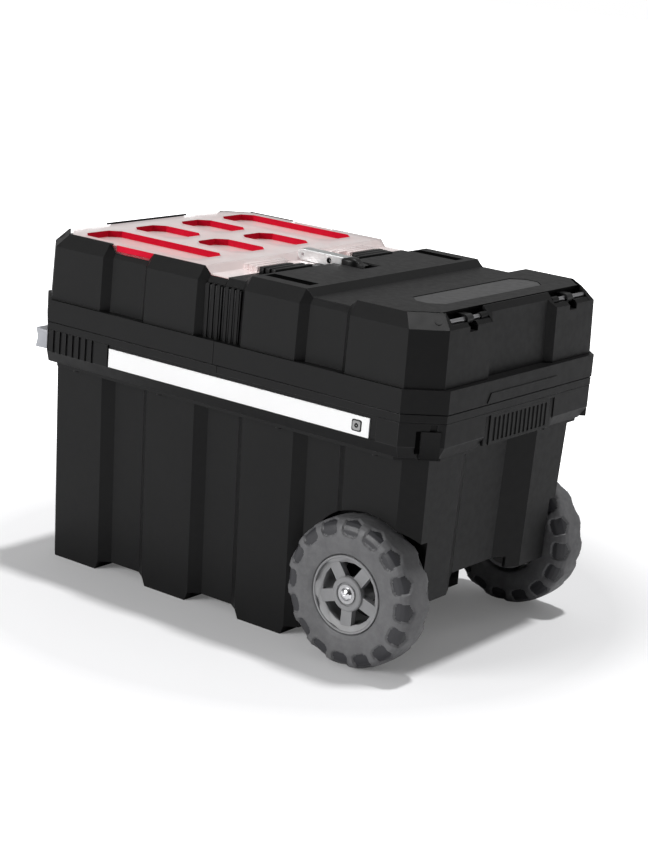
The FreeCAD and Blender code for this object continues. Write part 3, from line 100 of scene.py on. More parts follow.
def finish_mesh(name, bm, body, material, sharp=40.0, others=(), flat=False):
    """Turn a bmesh into a piece that rides on a body.

    A face's material index picks from the material and the others. Edges that turn by more than the
    sharp angle, in degrees, stay sharp. With flat, only faces that are marked smooth are shaded smooth.
    """
    bmesh.ops.recalc_face_normals(bm, faces=bm.faces)
    mesh = new_mesh(name, bm)
    for finish in (material, *others):
        mesh.materials.append(finish)
    soft = [face.use_smooth or not flat for face in mesh.polygons]
    mesh.set_sharp_from_angle(angle=math.radians(sharp))
    mesh.polygons.foreach_set("use_smooth", soft)
    piece = link_object(name, mesh)
    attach(piece, body)
    return piece


def cad_copy(node):
    """A bmesh of a CAD node with its triangles joined back into flat faces."""
    bm = bmesh.new()
    bm.from_mesh(NODES[node].data)
    bmesh.ops.remove_doubles(bm, verts=bm.verts, dist=WELD)
    bmesh.ops.dissolve_limit(bm, angle_limit=FLAT_TURN, verts=bm.verts, edges=bm.edges)
    return bm


def bevel_edges(bm, width):
    """Round the edges that turn enough and are long enough for the width. Returns the new faces."""
    edges = []
    for edge in bm.edges:
        if len(edge.link_faces) == 2 and edge.calc_length() > BEVEL_REACH * width:
            if edge.calc_face_angle(0.0) > BEVEL_TURN:
                edges.append(edge)
    made = bmesh.ops.bevel(bm, geom=edges, offset=width, offset_type="OFFSET", segments=BEVEL_SEGMENTS,
                           profile=ROUND_PROFILE, affect="EDGES", clamp_overlap=True)
    return made["faces"]


def is_narrow(face, width):
    """Whether a face is narrower than a width, across its longest edge."""
    return face.calc_area() < width * max(edge.calc_length() for edge in face.edges)


def mark_curved(bm):
    """Smooth shading for the facets of curved surfaces only, so that flat walls stay evenly lit."""
    for face in bm.faces:
        turns = [edge.calc_face_angle(0.0) for edge in face.edges if len(edge.link_faces) == 2]
        face.smooth = is_narrow(face, STRIP_WIDTH) and any(FLAT_TURN < turn < CURVE_TURN for turn in turns)


def rounded(node, material, width, edge_highlight=None):
    """A CAD node's own form with its edges rounded, and a lighter finish on the rounded edges if one is
    given: a painted highlight.
    """
    others = (edge_highlight,) if edge_highlight else ()
    bm = cad_copy(node)
    mark_curved(bm)
    bevel_edges(bm, width)
    # The narrow faces of the rounded edges take the lighter finish, a painted highlight, where one is given.
    for face in bm.faces:
        if is_narrow(face, BEVEL_FACE * width):
            face.smooth = True
            face.material_index = len(others)
    piece = finish_mesh("form_" + node, bm, NODES[node]["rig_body"], material, others=others, flat=True)
    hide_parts(node)


def dress(node, material):
    """Give a CAD node a finished material in place of its plain one."""
    mesh = NODES[node].data
    mesh.materials.clear()
    mesh.materials.append(material)


def bridge(bm, here, there):
    """Join two closed loops of as many vertices with faces."""
    for i in range(len(here)):
        j = (i + 1) % len(here)
        bm.faces.new((here[i], here[j], there[j], there[i]))


def loft(bm, loops):
    """Join closed loops of vertices in their order, and close both ends."""
    for here, there in zip(loops, loops[1:]):
        bridge(bm, here, there)
    bm.faces.new(loops[0])
    bm.faces.new(loops[-1])


X_AXIS, Y_AXIS = 0, 1


def add_prism(bm, outline, axis, low, high):
    """A prism over an outline of (first, second) points, along one axis from low to high."""
    loops = []
    for level in (low, high):
        loop = []
        for first, second in outline:
            place = [first, second]
            place.insert(axis, level)
            loop.append(bm.verts.new(place))
        loops.append(loop)
    loft(bm, loops)


def add_box(bm, corner, opposite):
    """A box between two opposite corners, returned as its vertices."""
    made = bmesh.ops.create_cube(bm, size=1.0)["verts"]
    for axis in range(3):
        low, high = sorted((corner[axis], opposite[axis]))
        for vert in made:
            vert.co[axis] = low if vert.co[axis] < 0 else high
    return made


def lathe(bm, profile, centre, steps, side=1):
    """Turn a closed profile of (y, radius) points in millimetres about an axis along Y.

    The points' y is counted from the centre, and the other way with side -1.
    """
    rings = []
    for step in range(steps):
        angle = 2 * math.pi * step / steps
        ring = []
        for along, radius in profile:
            out = Vector((radius * math.cos(angle), side * along, radius * math.sin(angle)))
            ring.append(bm.verts.new(centre + out * MM))
        rings.append(ring)
    for here, there in zip(rings, rings[1:] + rings[:1]):
        bridge(bm, here, there)


def quarter_round(half, top, radius, steps):
    """A rounded left shoulder as (y, z) points: from a side at -half, up to a flat top."""
    points = []
    for i in range(steps + 1):
        angle = math.pi / 2 * i / steps
        points.append((-half + radius * (1 - math.cos(angle)), top - radius * (1 - math.sin(angle))))
    return points


def with_mirror(points):
    """An outline's left half of (y, z) points, followed by its right half."""
    return points + [(-y, z) for y, z in reversed(points)]


# --- materials -----------------------------------------------------------------------------------

NOISE_LOW, NOISE_HIGH = 0.35, 0.65  # most of a noise's values lie between these
MIX_FACTOR, MIX_FLOAT_A, MIX_FLOAT_B, MIX_COLOUR_A, MIX_COLOUR_B = 0, 2, 3, 6, 7  # a mix node's inputs
MIX_FLOAT_OUT, MIX_COLOUR_OUT = 0, 2
SCUFFED = 1.5  # how much lighter than its lighter tone a plastic's scuffs are
BRUSHED = 0.86  # how dark a metal's fine lines are


class Nodes:
    """A short way to write a node tree.

    An input is a number, a colour, a vector or another node's output.
    """

    def __init__(self, tree):
        self.tree = tree
        self.coordinates = self.add("ShaderNodeTexCoord").outputs

    def feed(self, node, inputs):
        for key, value in inputs.items():
            socket = node.inputs[key]
            if isinstance(value, bpy.types.NodeSocket):
                self.tree.links.new(value, socket)
            elif socket.type == "RGBA":
                socket.default_value = (*value, 1.0)
            else:
                socket.default_value = value

    def add(self, kind, inputs=None, **settings):
        node = self.tree.nodes.new(kind)
        for key, value in settings.items():
            setattr(node, key, value)
        self.feed(node, inputs or {})
        return node

    def ray(self, kind):
        """One where the ray is of a kind, and zero elsewhere."""
        return self.add("ShaderNodeLightPath").outputs[kind]

    def noise(self, size, detail=2.0, roughness=0.5, place=None):
        """Noise whose features are about this many millimetres across."""
        inputs = {"Scale": 1 / (size * MM), "Detail": detail, "Roughness": roughness,
                  "Vector": place or self.coordinates["Object"]}
        return self.add("ShaderNodeTexNoise", inputs).outputs["Fac"]

    def ranged(self, value, low, high, first=NOISE_LOW, last=NOISE_HIGH, **settings):
        """A value that runs from first to last, made to run from low to high."""
        inputs = {"Value": value, "From Min": first, "From Max": last, "To Min": low, "To Max": high}
        return self.add("ShaderNodeMapRange", inputs, **settings).outputs["Result"]

    def times(self, first, second):
        return self.add("ShaderNodeMath", {0: first, 1: second}, operation="MULTIPLY").outputs[0]

    def blend(self, fac, first, second):
        inputs = {MIX_FACTOR: fac, MIX_COLOUR_A: first, MIX_COLOUR_B: second}
        return self.add("ShaderNodeMix", inputs, data_type="RGBA").outputs[MIX_COLOUR_OUT]

    def bump(self, height, strength, depth):
        """A surface's normal over a height map that is this many millimetres deep."""
        inputs = {"Height": height, "Strength": strength, "Distance": depth * MM}
        return self.add("ShaderNodeBump", inputs).outputs["Normal"]


class Finish(Nodes):
    """A new material, and the node tree in front of its shader."""

    def __init__(self, name):
        self.material = bpy.data.materials.new(name)
        self.material.use_nodes = True
        super().__init__(self.material.node_tree)

    def shade(self, inputs):
        self.feed(self.tree.nodes["Principled BSDF"], inputs)


def moulded(name, colour, light, rough, gloss, grain=0.5, bump=0.18):
    """Moulded plastic: a fine grain, slow changes of tone and gloss, and faint scuffs."""
    made = Finish(name)
    tone = made.ranged(made.noise(60.0, detail=4.0, roughness=0.6), 0.0, 1.0)
    scuffs = made.ranged(made.noise(7.0, detail=6.0, roughness=0.7), 0.0, 0.18, first=0.60, last=0.80)
    scuffed = tuple(min(1.0, SCUFFED * value) for value in light)
    made.shade({
        "Base Color": made.blend(scuffs, made.blend(tone, colour, light), scuffed),
        "Roughness": made.ranged(made.noise(9.0, detail=3.0), rough - 0.03, rough + 0.03),
        "Specular IOR Level": gloss,
        "Normal": made.bump(made.noise(grain), bump, depth=0.06)})
    return made.material


def clear_plastic(name, square_on, grazing):
    """Milky clear plastic, by how much it covers where it is seen square on and at a low angle."""
    made = Finish(name)
    facing = made.add("ShaderNodeLayerWeight", {"Blend": 0.5}).outputs["Facing"]
    cover = made.ranged(facing, square_on, grazing, first=0.42, last=0.78)
    less_in_shadow = made.ranged(made.ray("Is Shadow Ray"), 1.0, 0.25, first=0.0, last=1.0)
    tone = made.ranged(made.noise(45.0, detail=3.0), 0.0, 1.0)
    made.shade({
        "Base Color": made.blend(tone, (0.88, 0.76, 0.75), (0.93, 0.85, 0.84)),
        "Alpha": made.times(cover, less_in_shadow),
        "Roughness": 0.12,
        "Specular IOR Level": 0.5,
        "IOR": 1.5,
        "Normal": made.bump(made.noise(18.0), 0.12, depth=0.3)})
    return made.material


def metal(name, colour, rough, line_width=0.4, line_length=12.0, strength=0.08):
    """Plated or brushed metal with fine lines along X."""
    made = Finish(name)
    stretched = made.add("ShaderNodeMapping", {"Vector": made.coordinates["Object"],
                                               "Scale": (line_width / line_length, 1.0, 1.0)})
    lines = made.noise(line_width, detail=3.0, roughness=0.6, place=stretched.outputs["Vector"])
    darker = tuple(BRUSHED * value for value in colour)
    made.shade({
        "Base Color": made.blend(made.ranged(lines, 0.0, 1.0), colour, darker),
        "Metallic": 1.0,
        "Roughness": made.ranged(made.noise(5.0, detail=3.0), rough - 0.05, rough + 0.07),
        "Normal": made.bump(lines, strength, depth=0.05)})
    return made.material


def tyre_rubber(name):
    """Grey tyre rubber, cloudy and with lighter scuffs."""
    made = Finish(name)
    tone = made.ranged(made.noise(14.0, detail=5.0, roughness=0.65), 0.0, 1.0)
    base = made.blend(tone, (0.108, 0.108, 0.112), (0.140, 0.140, 0.144))
    scuffs = made.ranged(made.noise(2.5, detail=6.0, roughness=0.75), 0.0, 0.5, first=0.55, last=0.75)
    made.shade({
        "Base Color": made.blend(scuffs, base, (0.19, 0.19, 0.195)),
        "Roughness": made.ranged(made.noise(6.0, detail=4.0), 0.42, 0.62),
        "Specular IOR Level": 0.35,
        "Normal": made.bump(made.noise(0.9, detail=3.0), 0.25, depth=0.12)})
    return made.material


# A lighter black for the black shells' rounded edges: a painted highlight.
BLACK_EDGE_HIGHLIGHT = moulded("black_edge_highlight", (0.012, 0.012, 0.0125), (0.018, 0.018, 0.0185), rough=0.42, gloss=0.32)
# Near-black with no gloss, laid where slots lie in shade: painted shade.
PAINTED_SHADE = moulded("painted_shade_black", (0.002, 0.002, 0.002), (0.003, 0.003, 0.003), rough=0.9, gloss=0.0)
RED_WALL = moulded("red_through_clear", (0.62, 0.003, 0.024), (0.72, 0.008, 0.036), rough=0.55, gloss=0.06,
                   grain=1.2, bump=0.03)
PIN = metal("pin_steel", (0.40, 0.40, 0.41), rough=0.34)
BLACK = moulded("black_plastic", (0.0042, 0.0042, 0.0044), (0.0053, 0.0053, 0.0055), rough=0.46, gloss=0.22)
SMOOTH_BLACK = moulded("smooth_black", (0.030, 0.030, 0.031), (0.036, 0.036, 0.037), rough=0.36, gloss=0.40,
                       grain=0.8, bump=0.05)
GUIDE_BLACK = moulded("guide_black", (0.005, 0.005, 0.0052), (0.008, 0.008, 0.008), rough=0.38, gloss=0.26)
RED = moulded("bin_red", (0.72, 0.004, 0.030), (0.80, 0.008, 0.040), rough=0.45, gloss=0.15,
              grain=1.2, bump=0.06)
WHITE = moulded("strip_white", (0.93, 0.93, 0.93), (0.96, 0.96, 0.96), rough=0.35, gloss=0.4,
                grain=1.0, bump=0.03)
BUTTON = moulded("button_grey", (0.30, 0.30, 0.30), (0.36, 0.36, 0.36), rough=0.4, gloss=0.4)
PLUG = moulded("plug_black", (0.008, 0.008, 0.0083), (0.012, 0.012, 0.012), rough=0.48, gloss=0.22)
HANDLE = moulded("handle_grey", (0.36, 0.37, 0.40), (0.42, 0.43, 0.46), rough=0.36, gloss=0.45,
                 grain=0.6, bump=0.12)
HUB = moulded("hub_grey", (0.215, 0.215, 0.22), (0.265, 0.265, 0.27), rough=0.40, gloss=0.45,
              grain=0.7, bump=0.14)
CLEAR = clear_plastic("clear_plastic", square_on=0.05, grazing=0.74)
FROSTED = clear_plastic("frosted_plastic", square_on=0.72, grazing=0.93)
TYRE = tyre_rubber("tyre_grey")
# A darker rubber for the floors of the tyre's notches: painted shade.
TYRE_NOTCH_SHADE = moulded("tyre_notch_shade", (0.030, 0.030, 0.034), (0.042, 0.042, 0.046), rough=0.38, gloss=0.40,
                     grain=0.9, bump=0.20)
STEEL = metal("plated_steel", (0.55, 0.55, 0.56), rough=0.26)
LATCH = metal("latch_steel", (0.70, 0.71, 0.71), rough=0.40, line_width=0.5, line_length=20.0, strength=0.02)
CHROME = metal("chrome", (0.85, 0.85, 0.87), rough=0.10, line_width=0.6, line_length=4.0, strength=0.02)
TUBE = metal("tube_aluminium", (0.62, 0.63, 0.65), rough=0.28)


# --- pieces that keep the CAD's form -------------------------------------------------------------

# How far the edges of each black shell are rounded, in millimetres.
SHELLS = {"tub": 1.0, "collar": 0.6, "lift_grip": 0.5, "storage_tray": 0.6, "organizer_tray": 0.6,
          "storage_skirt": 0.4, "organizer_skirt": 0.4, "storage_lid": 0.7, "latch_shelf": 0.5}
BINS = [name for name in NODES if name.startswith("bin_")]
ROUNDED = (  # node, material, slot, and how far the edges are rounded, in millimetres
    ("lid_inlay", SMOOTH_BLACK, "smooth_black", 0.3),
    *((name, RED, "bin_red", 0.5) for name in BINS),
    ("lid_edge_inserts", RED_WALL, "bin_red", 0.3),
    ("padlock_lug", STEEL, "steel", 0.5),
    ("front_label_strip", WHITE, "strip_white", 0.4),
    ("back_label_strip", WHITE, "strip_white", 0.4))
DRESSED = (
    (PLUG, ("storage_corner_plugs", "organizer_corner_plugs", "collar_screws")),
    (PIN, ("storage_hinge_pins", "organizer_hinge_pins")),
    (STEEL, ("latch_pin", "axle", "axle_washers")),
    (CHROME, ("axle_caps",)),
    (TUBE, ("handle_tubes",)),
    (GUIDE_BLACK, ("wheel_spacers", "slide_rails", "storage_runners", "organizer_runners", "stop_blocks",
                   "handle_sleeves", "handle_tube_plugs", "front_hub_bush", "back_hub_bush")))


def make_cad_pieces():
    """The pieces whose form comes from the CAD: rounded ones, and small ones that only get a material."""
    # The black shells get a lighter black on their rounded edges: a painted highlight.
    for node, width in SHELLS.items():
        rounded(node, BLACK, width * MM, BLACK_EDGE_HIGHLIGHT)
    for node, material, slot, width in ROUNDED:
        rounded(node, material, width * MM)
    for material, names in DRESSED:
        for node in names:
            dress(node, material)


make_cad_pieces()


# --- clear lid -----------------------------------------------------------------------------------

POCKET_TOP = DECK - 0.3 * MM
POCKET_FLOOR = DECK - 7.5 * MM
POCKET_LEAST_AREA = 1e-3  # square metres; smaller faces at that level aren't a pocket's floor
POCKET_NEAR = 0.2 * MM  # what is as near as this to a pocket's level or side belongs to it
POCKET_WALL = 2.5 * MM  # a pocket's walls and their roundings lie this near to its floor
POCKET_FOOT = 0.5 * MM  # the part of the walls that goes down with the floor
POCKET_DEEPER = 0.3 * MM
LYING = 0.9  # a face whose normal's z is more than this lies flat
UPRIGHT = 0.6  # a face whose normal's z is less than this stands up
FROSTED_LENGTH = 36 * MM  # the frosted part's length, from the join


def pocket_boxes(bm):
    """Where the floor of each pocket in the clear lid lies, as (x0, x1, y0, y1)."""
    boxes = []
    for face in bm.faces:
        level = abs(face.calc_center_median().z - POCKET_FLOOR) < POCKET_NEAR
        if level and face.normal.z > LYING and face.calc_area() > POCKET_LEAST_AREA:
            xs = [vert.co.x for vert in face.verts]
            ys = [vert.co.y for vert in face.verts]
            boxes.append((min(xs), max(xs), min(ys), max(ys)))
    return boxes


def in_a_box(place, boxes, margin):
    """Whether a place lies over one of the boxes, or as near to it as the margin."""
    return any(x0 - margin < place.x < x1 + margin and y0 - margin < place.y < y1 + margin
               for x0, x1, y0, y1 in boxes)


def make_clear_lid():
    """The clear lid: its pockets a little deeper, with the red of the bins showing in their walls."""
    bm = cad_copy("clear_lid")
    boxes = pocket_boxes(bm)
    for vert in bm.verts:
        if vert.co.z < POCKET_FLOOR + POCKET_FOOT and in_a_box(vert.co, boxes, POCKET_WALL):
            vert.co.z -= POCKET_DEEPER
    mark_curved(bm)
    for face in bevel_edges(bm, width=0.45 * MM):
        face.smooth = True
    for face in bm.faces:
        middle = face.calc_center_median()
        upright = abs(face.normal.z) < UPRIGHT
        if upright and middle.z < POCKET_TOP and in_a_box(middle, boxes, POCKET_NEAR):
            face.material_index = 1
        elif middle.x > JOIN - FROSTED_LENGTH:
            face.material_index = 2
    piece = finish_mesh("form_clear_lid", bm, "clear_lid", CLEAR,
                        others=(RED_WALL, FROSTED), flat=True)
    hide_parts("clear_lid")


def make_rim_beads():
    """A thin black bead on the organizer's rim, across its outer end and along part of both sides."""
    low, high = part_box("organizer_tray")
    end, side = low.x + 20.8 * MM, high.y - 17.2 * MM
    half, half_length = 0.6 * MM, 75 * MM
    start, stop = end + 29.8 * MM, end + 101.8 * MM
    foot, end_top, side_top = DECK - 1.2 * MM, DECK + 1.0 * MM, DECK + 0.9 * MM
    bm = bmesh.new()
    add_box(bm, (end - half, -half_length, foot), (end + half, half_length, end_top))
    for sign in (-1, 1):
        add_box(bm, (start, sign * side - half, foot), (stop, sign * side + half, side_top))
    bevel_edges(bm, width=0.3 * MM)
    finish_mesh("form_rim_bead", bm, "organizer", BLACK)


make_clear_lid()
make_rim_beads()


# --- wheels --------------------------------------------------------------------------------------

# Half of the tyre's section in millimetres: distance from its middle plane and radius, from the tread's
# middle over the shoulder to the bead.
TYRE_HALF = [(0, 86.5), (8, 86.4), (14.5, 86.0), (19.5, 84.3), (23.2, 80.5), (25.3, 75.0),
             (26, 68), (25.8, 60), (25, 52), (23.5, 46.5), (20.5, 45.3)]
TYRE_STEP = 1.5
TREAD_PITCHES = 16
STEPS_PER_PITCH = 26
NOTCH_DEPTH = 2.0
NOTCH_HALF = 11.5  # half of a notch's length along the tread
NOTCH_FLANK = 1.2  # the width of its sloped edge
NOTCH_START, NOTCH_WIDE, NOTCH_ROUND, NOTCH_END = 10, 18, 33, 39  # distances from the tread's middle
NOTCH_RADIUS = 74  # nearer to the axle than this, the notches keep their length
NOTCH_SHADED = 0.9  # the share of the full depth from which a notch's floor gets the darker rubber, a painted shade


def resampled(points, step):
    """Points at even distances along a polyline, with the distance from its start."""
    walked = [0.0]
    for first, second in zip(points, points[1:]):
        walked.append(walked[-1] + math.dist(first, second))
    count = round(walked[-1] / step)
    found = []
    for i in range(count + 1):
        target = walked[-1] * i / count
        k = max(j for j in range(len(points) - 1) if walked[j] <= target)
        share = (target - walked[k]) / (walked[k + 1] - walked[k])
        along, radius = (a + share * (b - a) for a, b in zip(points[k], points[k + 1]))
        found.append((along, radius, target))
    return found


def tyre_profile():
    """The whole section from bead to bead: (y, radius, distance from the tread's middle, outward, side)."""
    half = resampled(TYRE_HALF, TYRE_STEP)
    right = []
    left = []
    for i, (y, radius, walked) in enumerate(half):
        before, after = half[max(i - 1, 0)], half[min(i + 1, len(half) - 1)]
        run = Vector((after[0] - before[0], after[1] - before[1])).normalized()
        right.append((y, radius, walked, (-run.y, run.x), 1))
        left.append((-y, radius, walked, (run.y, run.x), -1))
    return left[::-1] + right[1:]


def notch_depth(around, across):
    """How deep the tread is cut, from the distances to a notch's middle and to the tread's middle."""
    if across < NOTCH_START or across > NOTCH_END:
        return 0.0
    half = NOTCH_HALF
    if across < NOTCH_WIDE:
        half *= (across - NOTCH_START) / (NOTCH_WIDE - NOTCH_START)
    elif across > NOTCH_ROUND:
        half *= math.sqrt(1 - ((across - NOTCH_ROUND) / (NOTCH_END - NOTCH_ROUND)) ** 2)
    inside = min(max((half - abs(around)) / NOTCH_FLANK, 0.0), 1.0)
    return NOTCH_DEPTH * inside * inside * (3 - 2 * inside)


def make_tyre(node, body):
    """A tyre with a notched shoulder on each side, half a pitch apart, and a dished sidewall; the notches'
    floors are painted darker as painted shade.
    """
    low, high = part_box(node)
    centre = (low + high) / 2
    profile = tyre_profile()
    bm = bmesh.new()
    rings = []
    shaded_verts = set()
    pitch = 2 * math.pi / TREAD_PITCHES
    for step in range(TREAD_PITCHES * STEPS_PER_PITCH):
        angle = pitch * step / STEPS_PER_PITCH
        ring = []
        for y, radius, walked, (out_y, out_r), side in profile:
            turn = angle / pitch + (0.5 if side > 0 else 0.0)
            around = (turn - round(turn)) * pitch * max(radius, NOTCH_RADIUS)
            depth = notch_depth(around, walked)
            along, away = y - depth * out_y, radius - depth * out_r
            out = Vector((away * math.cos(angle), along, away * math.sin(angle)))
            ring.append(bm.verts.new(centre + out * MM))
            if depth > NOTCH_SHADED * NOTCH_DEPTH:
                shaded_verts.add(ring[-1])
        rings.append(ring)
    for here, there in zip(rings, rings[1:] + rings[:1]):
        bridge(bm, here, there)
    # The deepest part of each notch takes the darker rubber: painted shade.
    for face in bm.faces:
        if all(vert in shaded_verts for vert in face.verts):
            face.material_index = 1
    piece = finish_mesh("form_" + node, bm, body, TYRE, sharp=50.0, others=(TYRE_NOTCH_SHADE,))
    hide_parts(node)


SPOKES = 5
SPOKE_TURN = math.radians(18)  # turns the hub until one spoke points straight down
SPOKE_HALF = 7.2 * MM
SPOKE_START, SPOKE_END = 15 * MM, 41 * MM  # from the axle
SPOKE_FACE, SPOKE_BACK = 4.9 * MM, 12.9 * MM  # behind the hub's outer face
RIM_INNER = 38 * MM
RIM_NEAR = 1.5 * MM  # vertices within this of RIM_INNER belong to its edge
RIM_FRONT = 2.3 * MM  # and only those within this of the hub's outer face are moved
RIM_DISH = 6.2 * MM  # how far they are moved in, which dishes the face
# Rings on the hub in millimetres: how far before its outer face, and radius.
BOSS_RING = ((-7.3, 13.4), (-2.1, 13.4), (-1.5, 14.0), (-1.5, 18.6), (-2.5, 19.8), (-7.3, 20.4))
RIM_LIP = ((-2.8, 42.3), (0.1, 42.2), (0.9, 42.8), (0.9, 44.6), (0.1, 45.1), (-2.8, 45.1))


def make_hub(side, sign):
    """A hub with a dished face, broad spokes, a ring around its bore and a raised rim lip."""
    node = side + "_hub"
    low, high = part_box(node)
    axis = Vector(((low.x + high.x) / 2, 0, (low.z + high.z) / 2))
    face_y = max(high.y, -low.y)
    bm = cad_copy(node)
    for vert in bm.verts:
        away = math.hypot(vert.co.x - axis.x, vert.co.z - axis.z)
        if abs(away - RIM_INNER) < RIM_NEAR and sign * vert.co.y > face_y - RIM_FRONT:
            vert.co.y -= sign * RIM_DISH
    bevel_edges(bm, width=0.7 * MM)
    for i in range(SPOKES):
        made = add_box(bm, (-SPOKE_HALF, sign * (face_y - SPOKE_BACK), SPOKE_START),
                       (SPOKE_HALF, sign * (face_y - SPOKE_FACE), SPOKE_END))
        turn = Matrix.Rotation(2 * math.pi * i / SPOKES + math.pi / 2, 4, "Y")
        for vert in made:
            vert.co = axis + turn @ vert.co
    face_middle = Vector((axis.x, sign * face_y, axis.z))
    lathe(bm, BOSS_RING, face_middle, steps=72, side=sign)
    lathe(bm, RIM_LIP, face_middle, steps=96, side=sign)
    turn = Matrix.Rotation(SPOKE_TURN, 4, "Y")
    for vert in bm.verts:
        vert.co = axis + turn @ (vert.co - axis)
    piece = finish_mesh("form_" + node, bm, side + "_wheel", HUB, sharp=30.0)
    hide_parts(node)


for wheel_side, wheel_sign in (("front", -1), ("back", 1)):
    make_tyre(wheel_side + "_tyre", wheel_side + "_wheel")
    make_hub(wheel_side, wheel_sign)


# --- pull handle ---------------------------------------------------------------------------------

GRIP_FACETS = 8  # of the grip's hollow face
GRIP_HOLLOW = 3.2 * MM
GRIP_LIP = 0.8 * MM
# From an end block to the bar in millimetres: distance from the grip's end, how much less deep the
# section is than the block, and how much it shrinks all round.
GRIP_STATIONS = ((0, 0, 2.2), (0.8, 0, 0.8), (2.4, 0, 0.2), (21, 0, 0.2), (23.5, 1.5, 0.5), (25, 14, 1.6),
                 (28, 14, 2.2))


def make_handle_grip():
    """The grip: a hollow outer face between two lips, deep end blocks and a thinner bar between them."""
    low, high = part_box("handle_grip")
    bm = bmesh.new()

    def section(y, less, shrink):
        """A loop of vertices: up the hollow face, over the top, down the back and under the foot."""
        x0, x1 = low.x + shrink, high.x - less - shrink
        z0, z1 = low.z + shrink, high.z - shrink
        middle, half = (z0 + z1) / 2, (z1 - z0) / 2
        points = []
        for i in range(GRIP_FACETS + 1):
            share = 2 * i / GRIP_FACETS - 1
            inward = GRIP_LIP if abs(share) == 1 else GRIP_HOLLOW * (1 - share * share)
            points.append((x0 + inward, middle + share * half))
        back = ((x0 + 3 * MM, 0.2 * MM), (x1 - 1.5 * MM, -0.6 * MM), (x1, -2 * MM))
        points += [(x, z1 + past) for x, past in back]
        points += [(x, z0 - past) for x, past in reversed(back)]
        return [bm.verts.new((x, y, z)) for x, z in points]

    stations = [(low.y + inset * MM, less * MM, shrink * MM) for inset, less, shrink in GRIP_STATIONS]
    stations += [(-y, less, shrink) for y, less, shrink in reversed(stations)]
    loft(bm, [section(*station) for station in stations])
    piece = finish_mesh("form_handle_grip", bm, "handle", HANDLE, sharp=35.0)
    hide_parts("handle_grip")


make_handle_grip()


# --- latch ---------------------------------------------------------------------------------------

LATCH_BEND = 2.2 * MM
LATCH_HEM = 0.7 * MM  # how far the sheet's sides reach below its underside
LATCH_REAR = 0.4 * MM  # how far it reaches past the CAD's plate at the hinge
THUMB_ROUND = 4.6 * MM
THUMB_EDGE = 0.3 * MM  # what the rounding leaves at least
THUMB_WALL = 1.2 * MM  # the least thickness above the slot
THUMB_SLOT_HALF = 3.5 * MM
THUMB_SLOT_ROOF = DECK + 5.5 * MM
# Along the thumb grip: share of its length, and how much narrower at each side and lower, in millimetres.
THUMB_STATIONS = ((-0.32, 2.6, 2.0), (-0.28, 0.8, 0.9), (-0.18, 0, 0.2), (0.1, -0.8, 0), (0.3, 0, 0.2),
                  (0.42, 1.2, 1.0), (0.50, 3.0, 2.4), (0.66, 3.6, 5.2), (1.0, 4.0, 6.0))


def make_latch_sheet():
    """The latch: its cheeks, and a sheet that is bent down a little along both sides."""
    low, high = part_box("latch_plate")
    bm = cad_copy("latch_cheeks")
    bevel_edges(bm, width=0.25 * MM)
    half, inside = high.y, high.y - (high.z - low.z)
    hem = low.z - LATCH_HEM
    outline = with_mirror([(-half, hem)] + quarter_round(half, high.z, LATCH_BEND, steps=4))
    outline += [(inside, hem), (inside, low.z), (-inside, low.z), (-inside, hem)]
    loft(bm, [[bm.verts.new((x, y, z)) for y, z in outline] for x in (low.x - LATCH_REAR, high.x)])
    piece = finish_mesh("form_latch", bm, "latch", LATCH, sharp=35.0)
    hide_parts("latch_plate", "latch_cheeks")


def make_thumb_grip():
    """The raised rounded grip at the latch's free end, with a slot under it."""
    low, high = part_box("latch_thumb_grip")
    slot = THUMB_SLOT_HALF
    bm = bmesh.new()
    loops = []
    for share, narrower, lower in THUMB_STATIONS:
        x = low.x + share * (high.x - low.x)
        half, top = high.y - narrower * MM, high.z - lower * MM
        soft = min(THUMB_ROUND, half - slot - THUMB_EDGE, top - low.z - THUMB_EDGE)
        outline = with_mirror([(-half, low.z)] + quarter_round(half, top, soft, steps=5))
        ceiling = min(THUMB_SLOT_ROOF, top - THUMB_WALL)
        outline += [(slot, low.z), (slot, ceiling), (-slot, ceiling), (-slot, low.z)]
        loops.append([bm.verts.new((x, y, z)) for y, z in outline])
    loft(bm, loops)
    piece = finish_mesh("form_thumb_grip", bm, "latch", GUIDE_BLACK)
    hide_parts("latch_thumb_grip")


make_latch_sheet()
make_thumb_grip()


# --- small parts ---------------------------------------------------------------------------------

# A button's frame and its face in millimetres: half its width, how far its back and its front lie
# behind the front of the CAD's button, and its finish.
BUTTON_LAYERS = ((6.6, 0.9, 0.45, PLUG), (5.2, 0.5, 0.0, BUTTON))
# The screw in the button: how far it stands proud, and radius.
BUTTON_SCREW = ((0, 0.9), (0.15, 0.9), (0.15, 1.2), (0.5, 1.5), (0.5, 2.3), (0, 2.6))
BUTTON_ROUND = 2.2 * MM
BUTTON_SHIFT = 2.5 * MM  # how far the buttons sit from the CAD's, towards the handle


def make_strip_buttons():
    """Rounded square buttons near the strips' right ends, each with a round screw."""
    low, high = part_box("strip_buttons")
    for sign in (-1, 1):
        middle = Vector(((low.x + high.x) / 2 - BUTTON_SHIFT, sign * high.y, (low.z + high.z) / 2))
        for half, back, front, finish in BUTTON_LAYERS:
            bm = bmesh.new()
            add_box(bm, middle + Vector((-half, -sign * back, -half)) * MM,
                    middle + Vector((half, -sign * front, half)) * MM)
            sides = [edge for edge in bm.edges if abs(edge.verts[0].co.y - edge.verts[1].co.y) > WELD]
            bmesh.ops.bevel(bm, geom=sides, offset=BUTTON_ROUND, offset_type="OFFSET", segments=4,
                            profile=ROUND_PROFILE, affect="EDGES")
            button = finish_mesh("form_button", bm, "base", finish)
        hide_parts("strip_buttons")
        bm = bmesh.new()
        lathe(bm, BUTTON_SCREW, middle, steps=28, side=sign)
        finish_mesh("form_button_screw", bm, "base", PLUG)


# Ribs beside the latch: distance from the join, and from where to where across, in millimetres.
JUNCTION_RIBS = ((4.6, 62, 118), (12.6, 50, 117), (20.6, 46, 116))
JUNCTION_RIB_HALF = 3.1 * MM


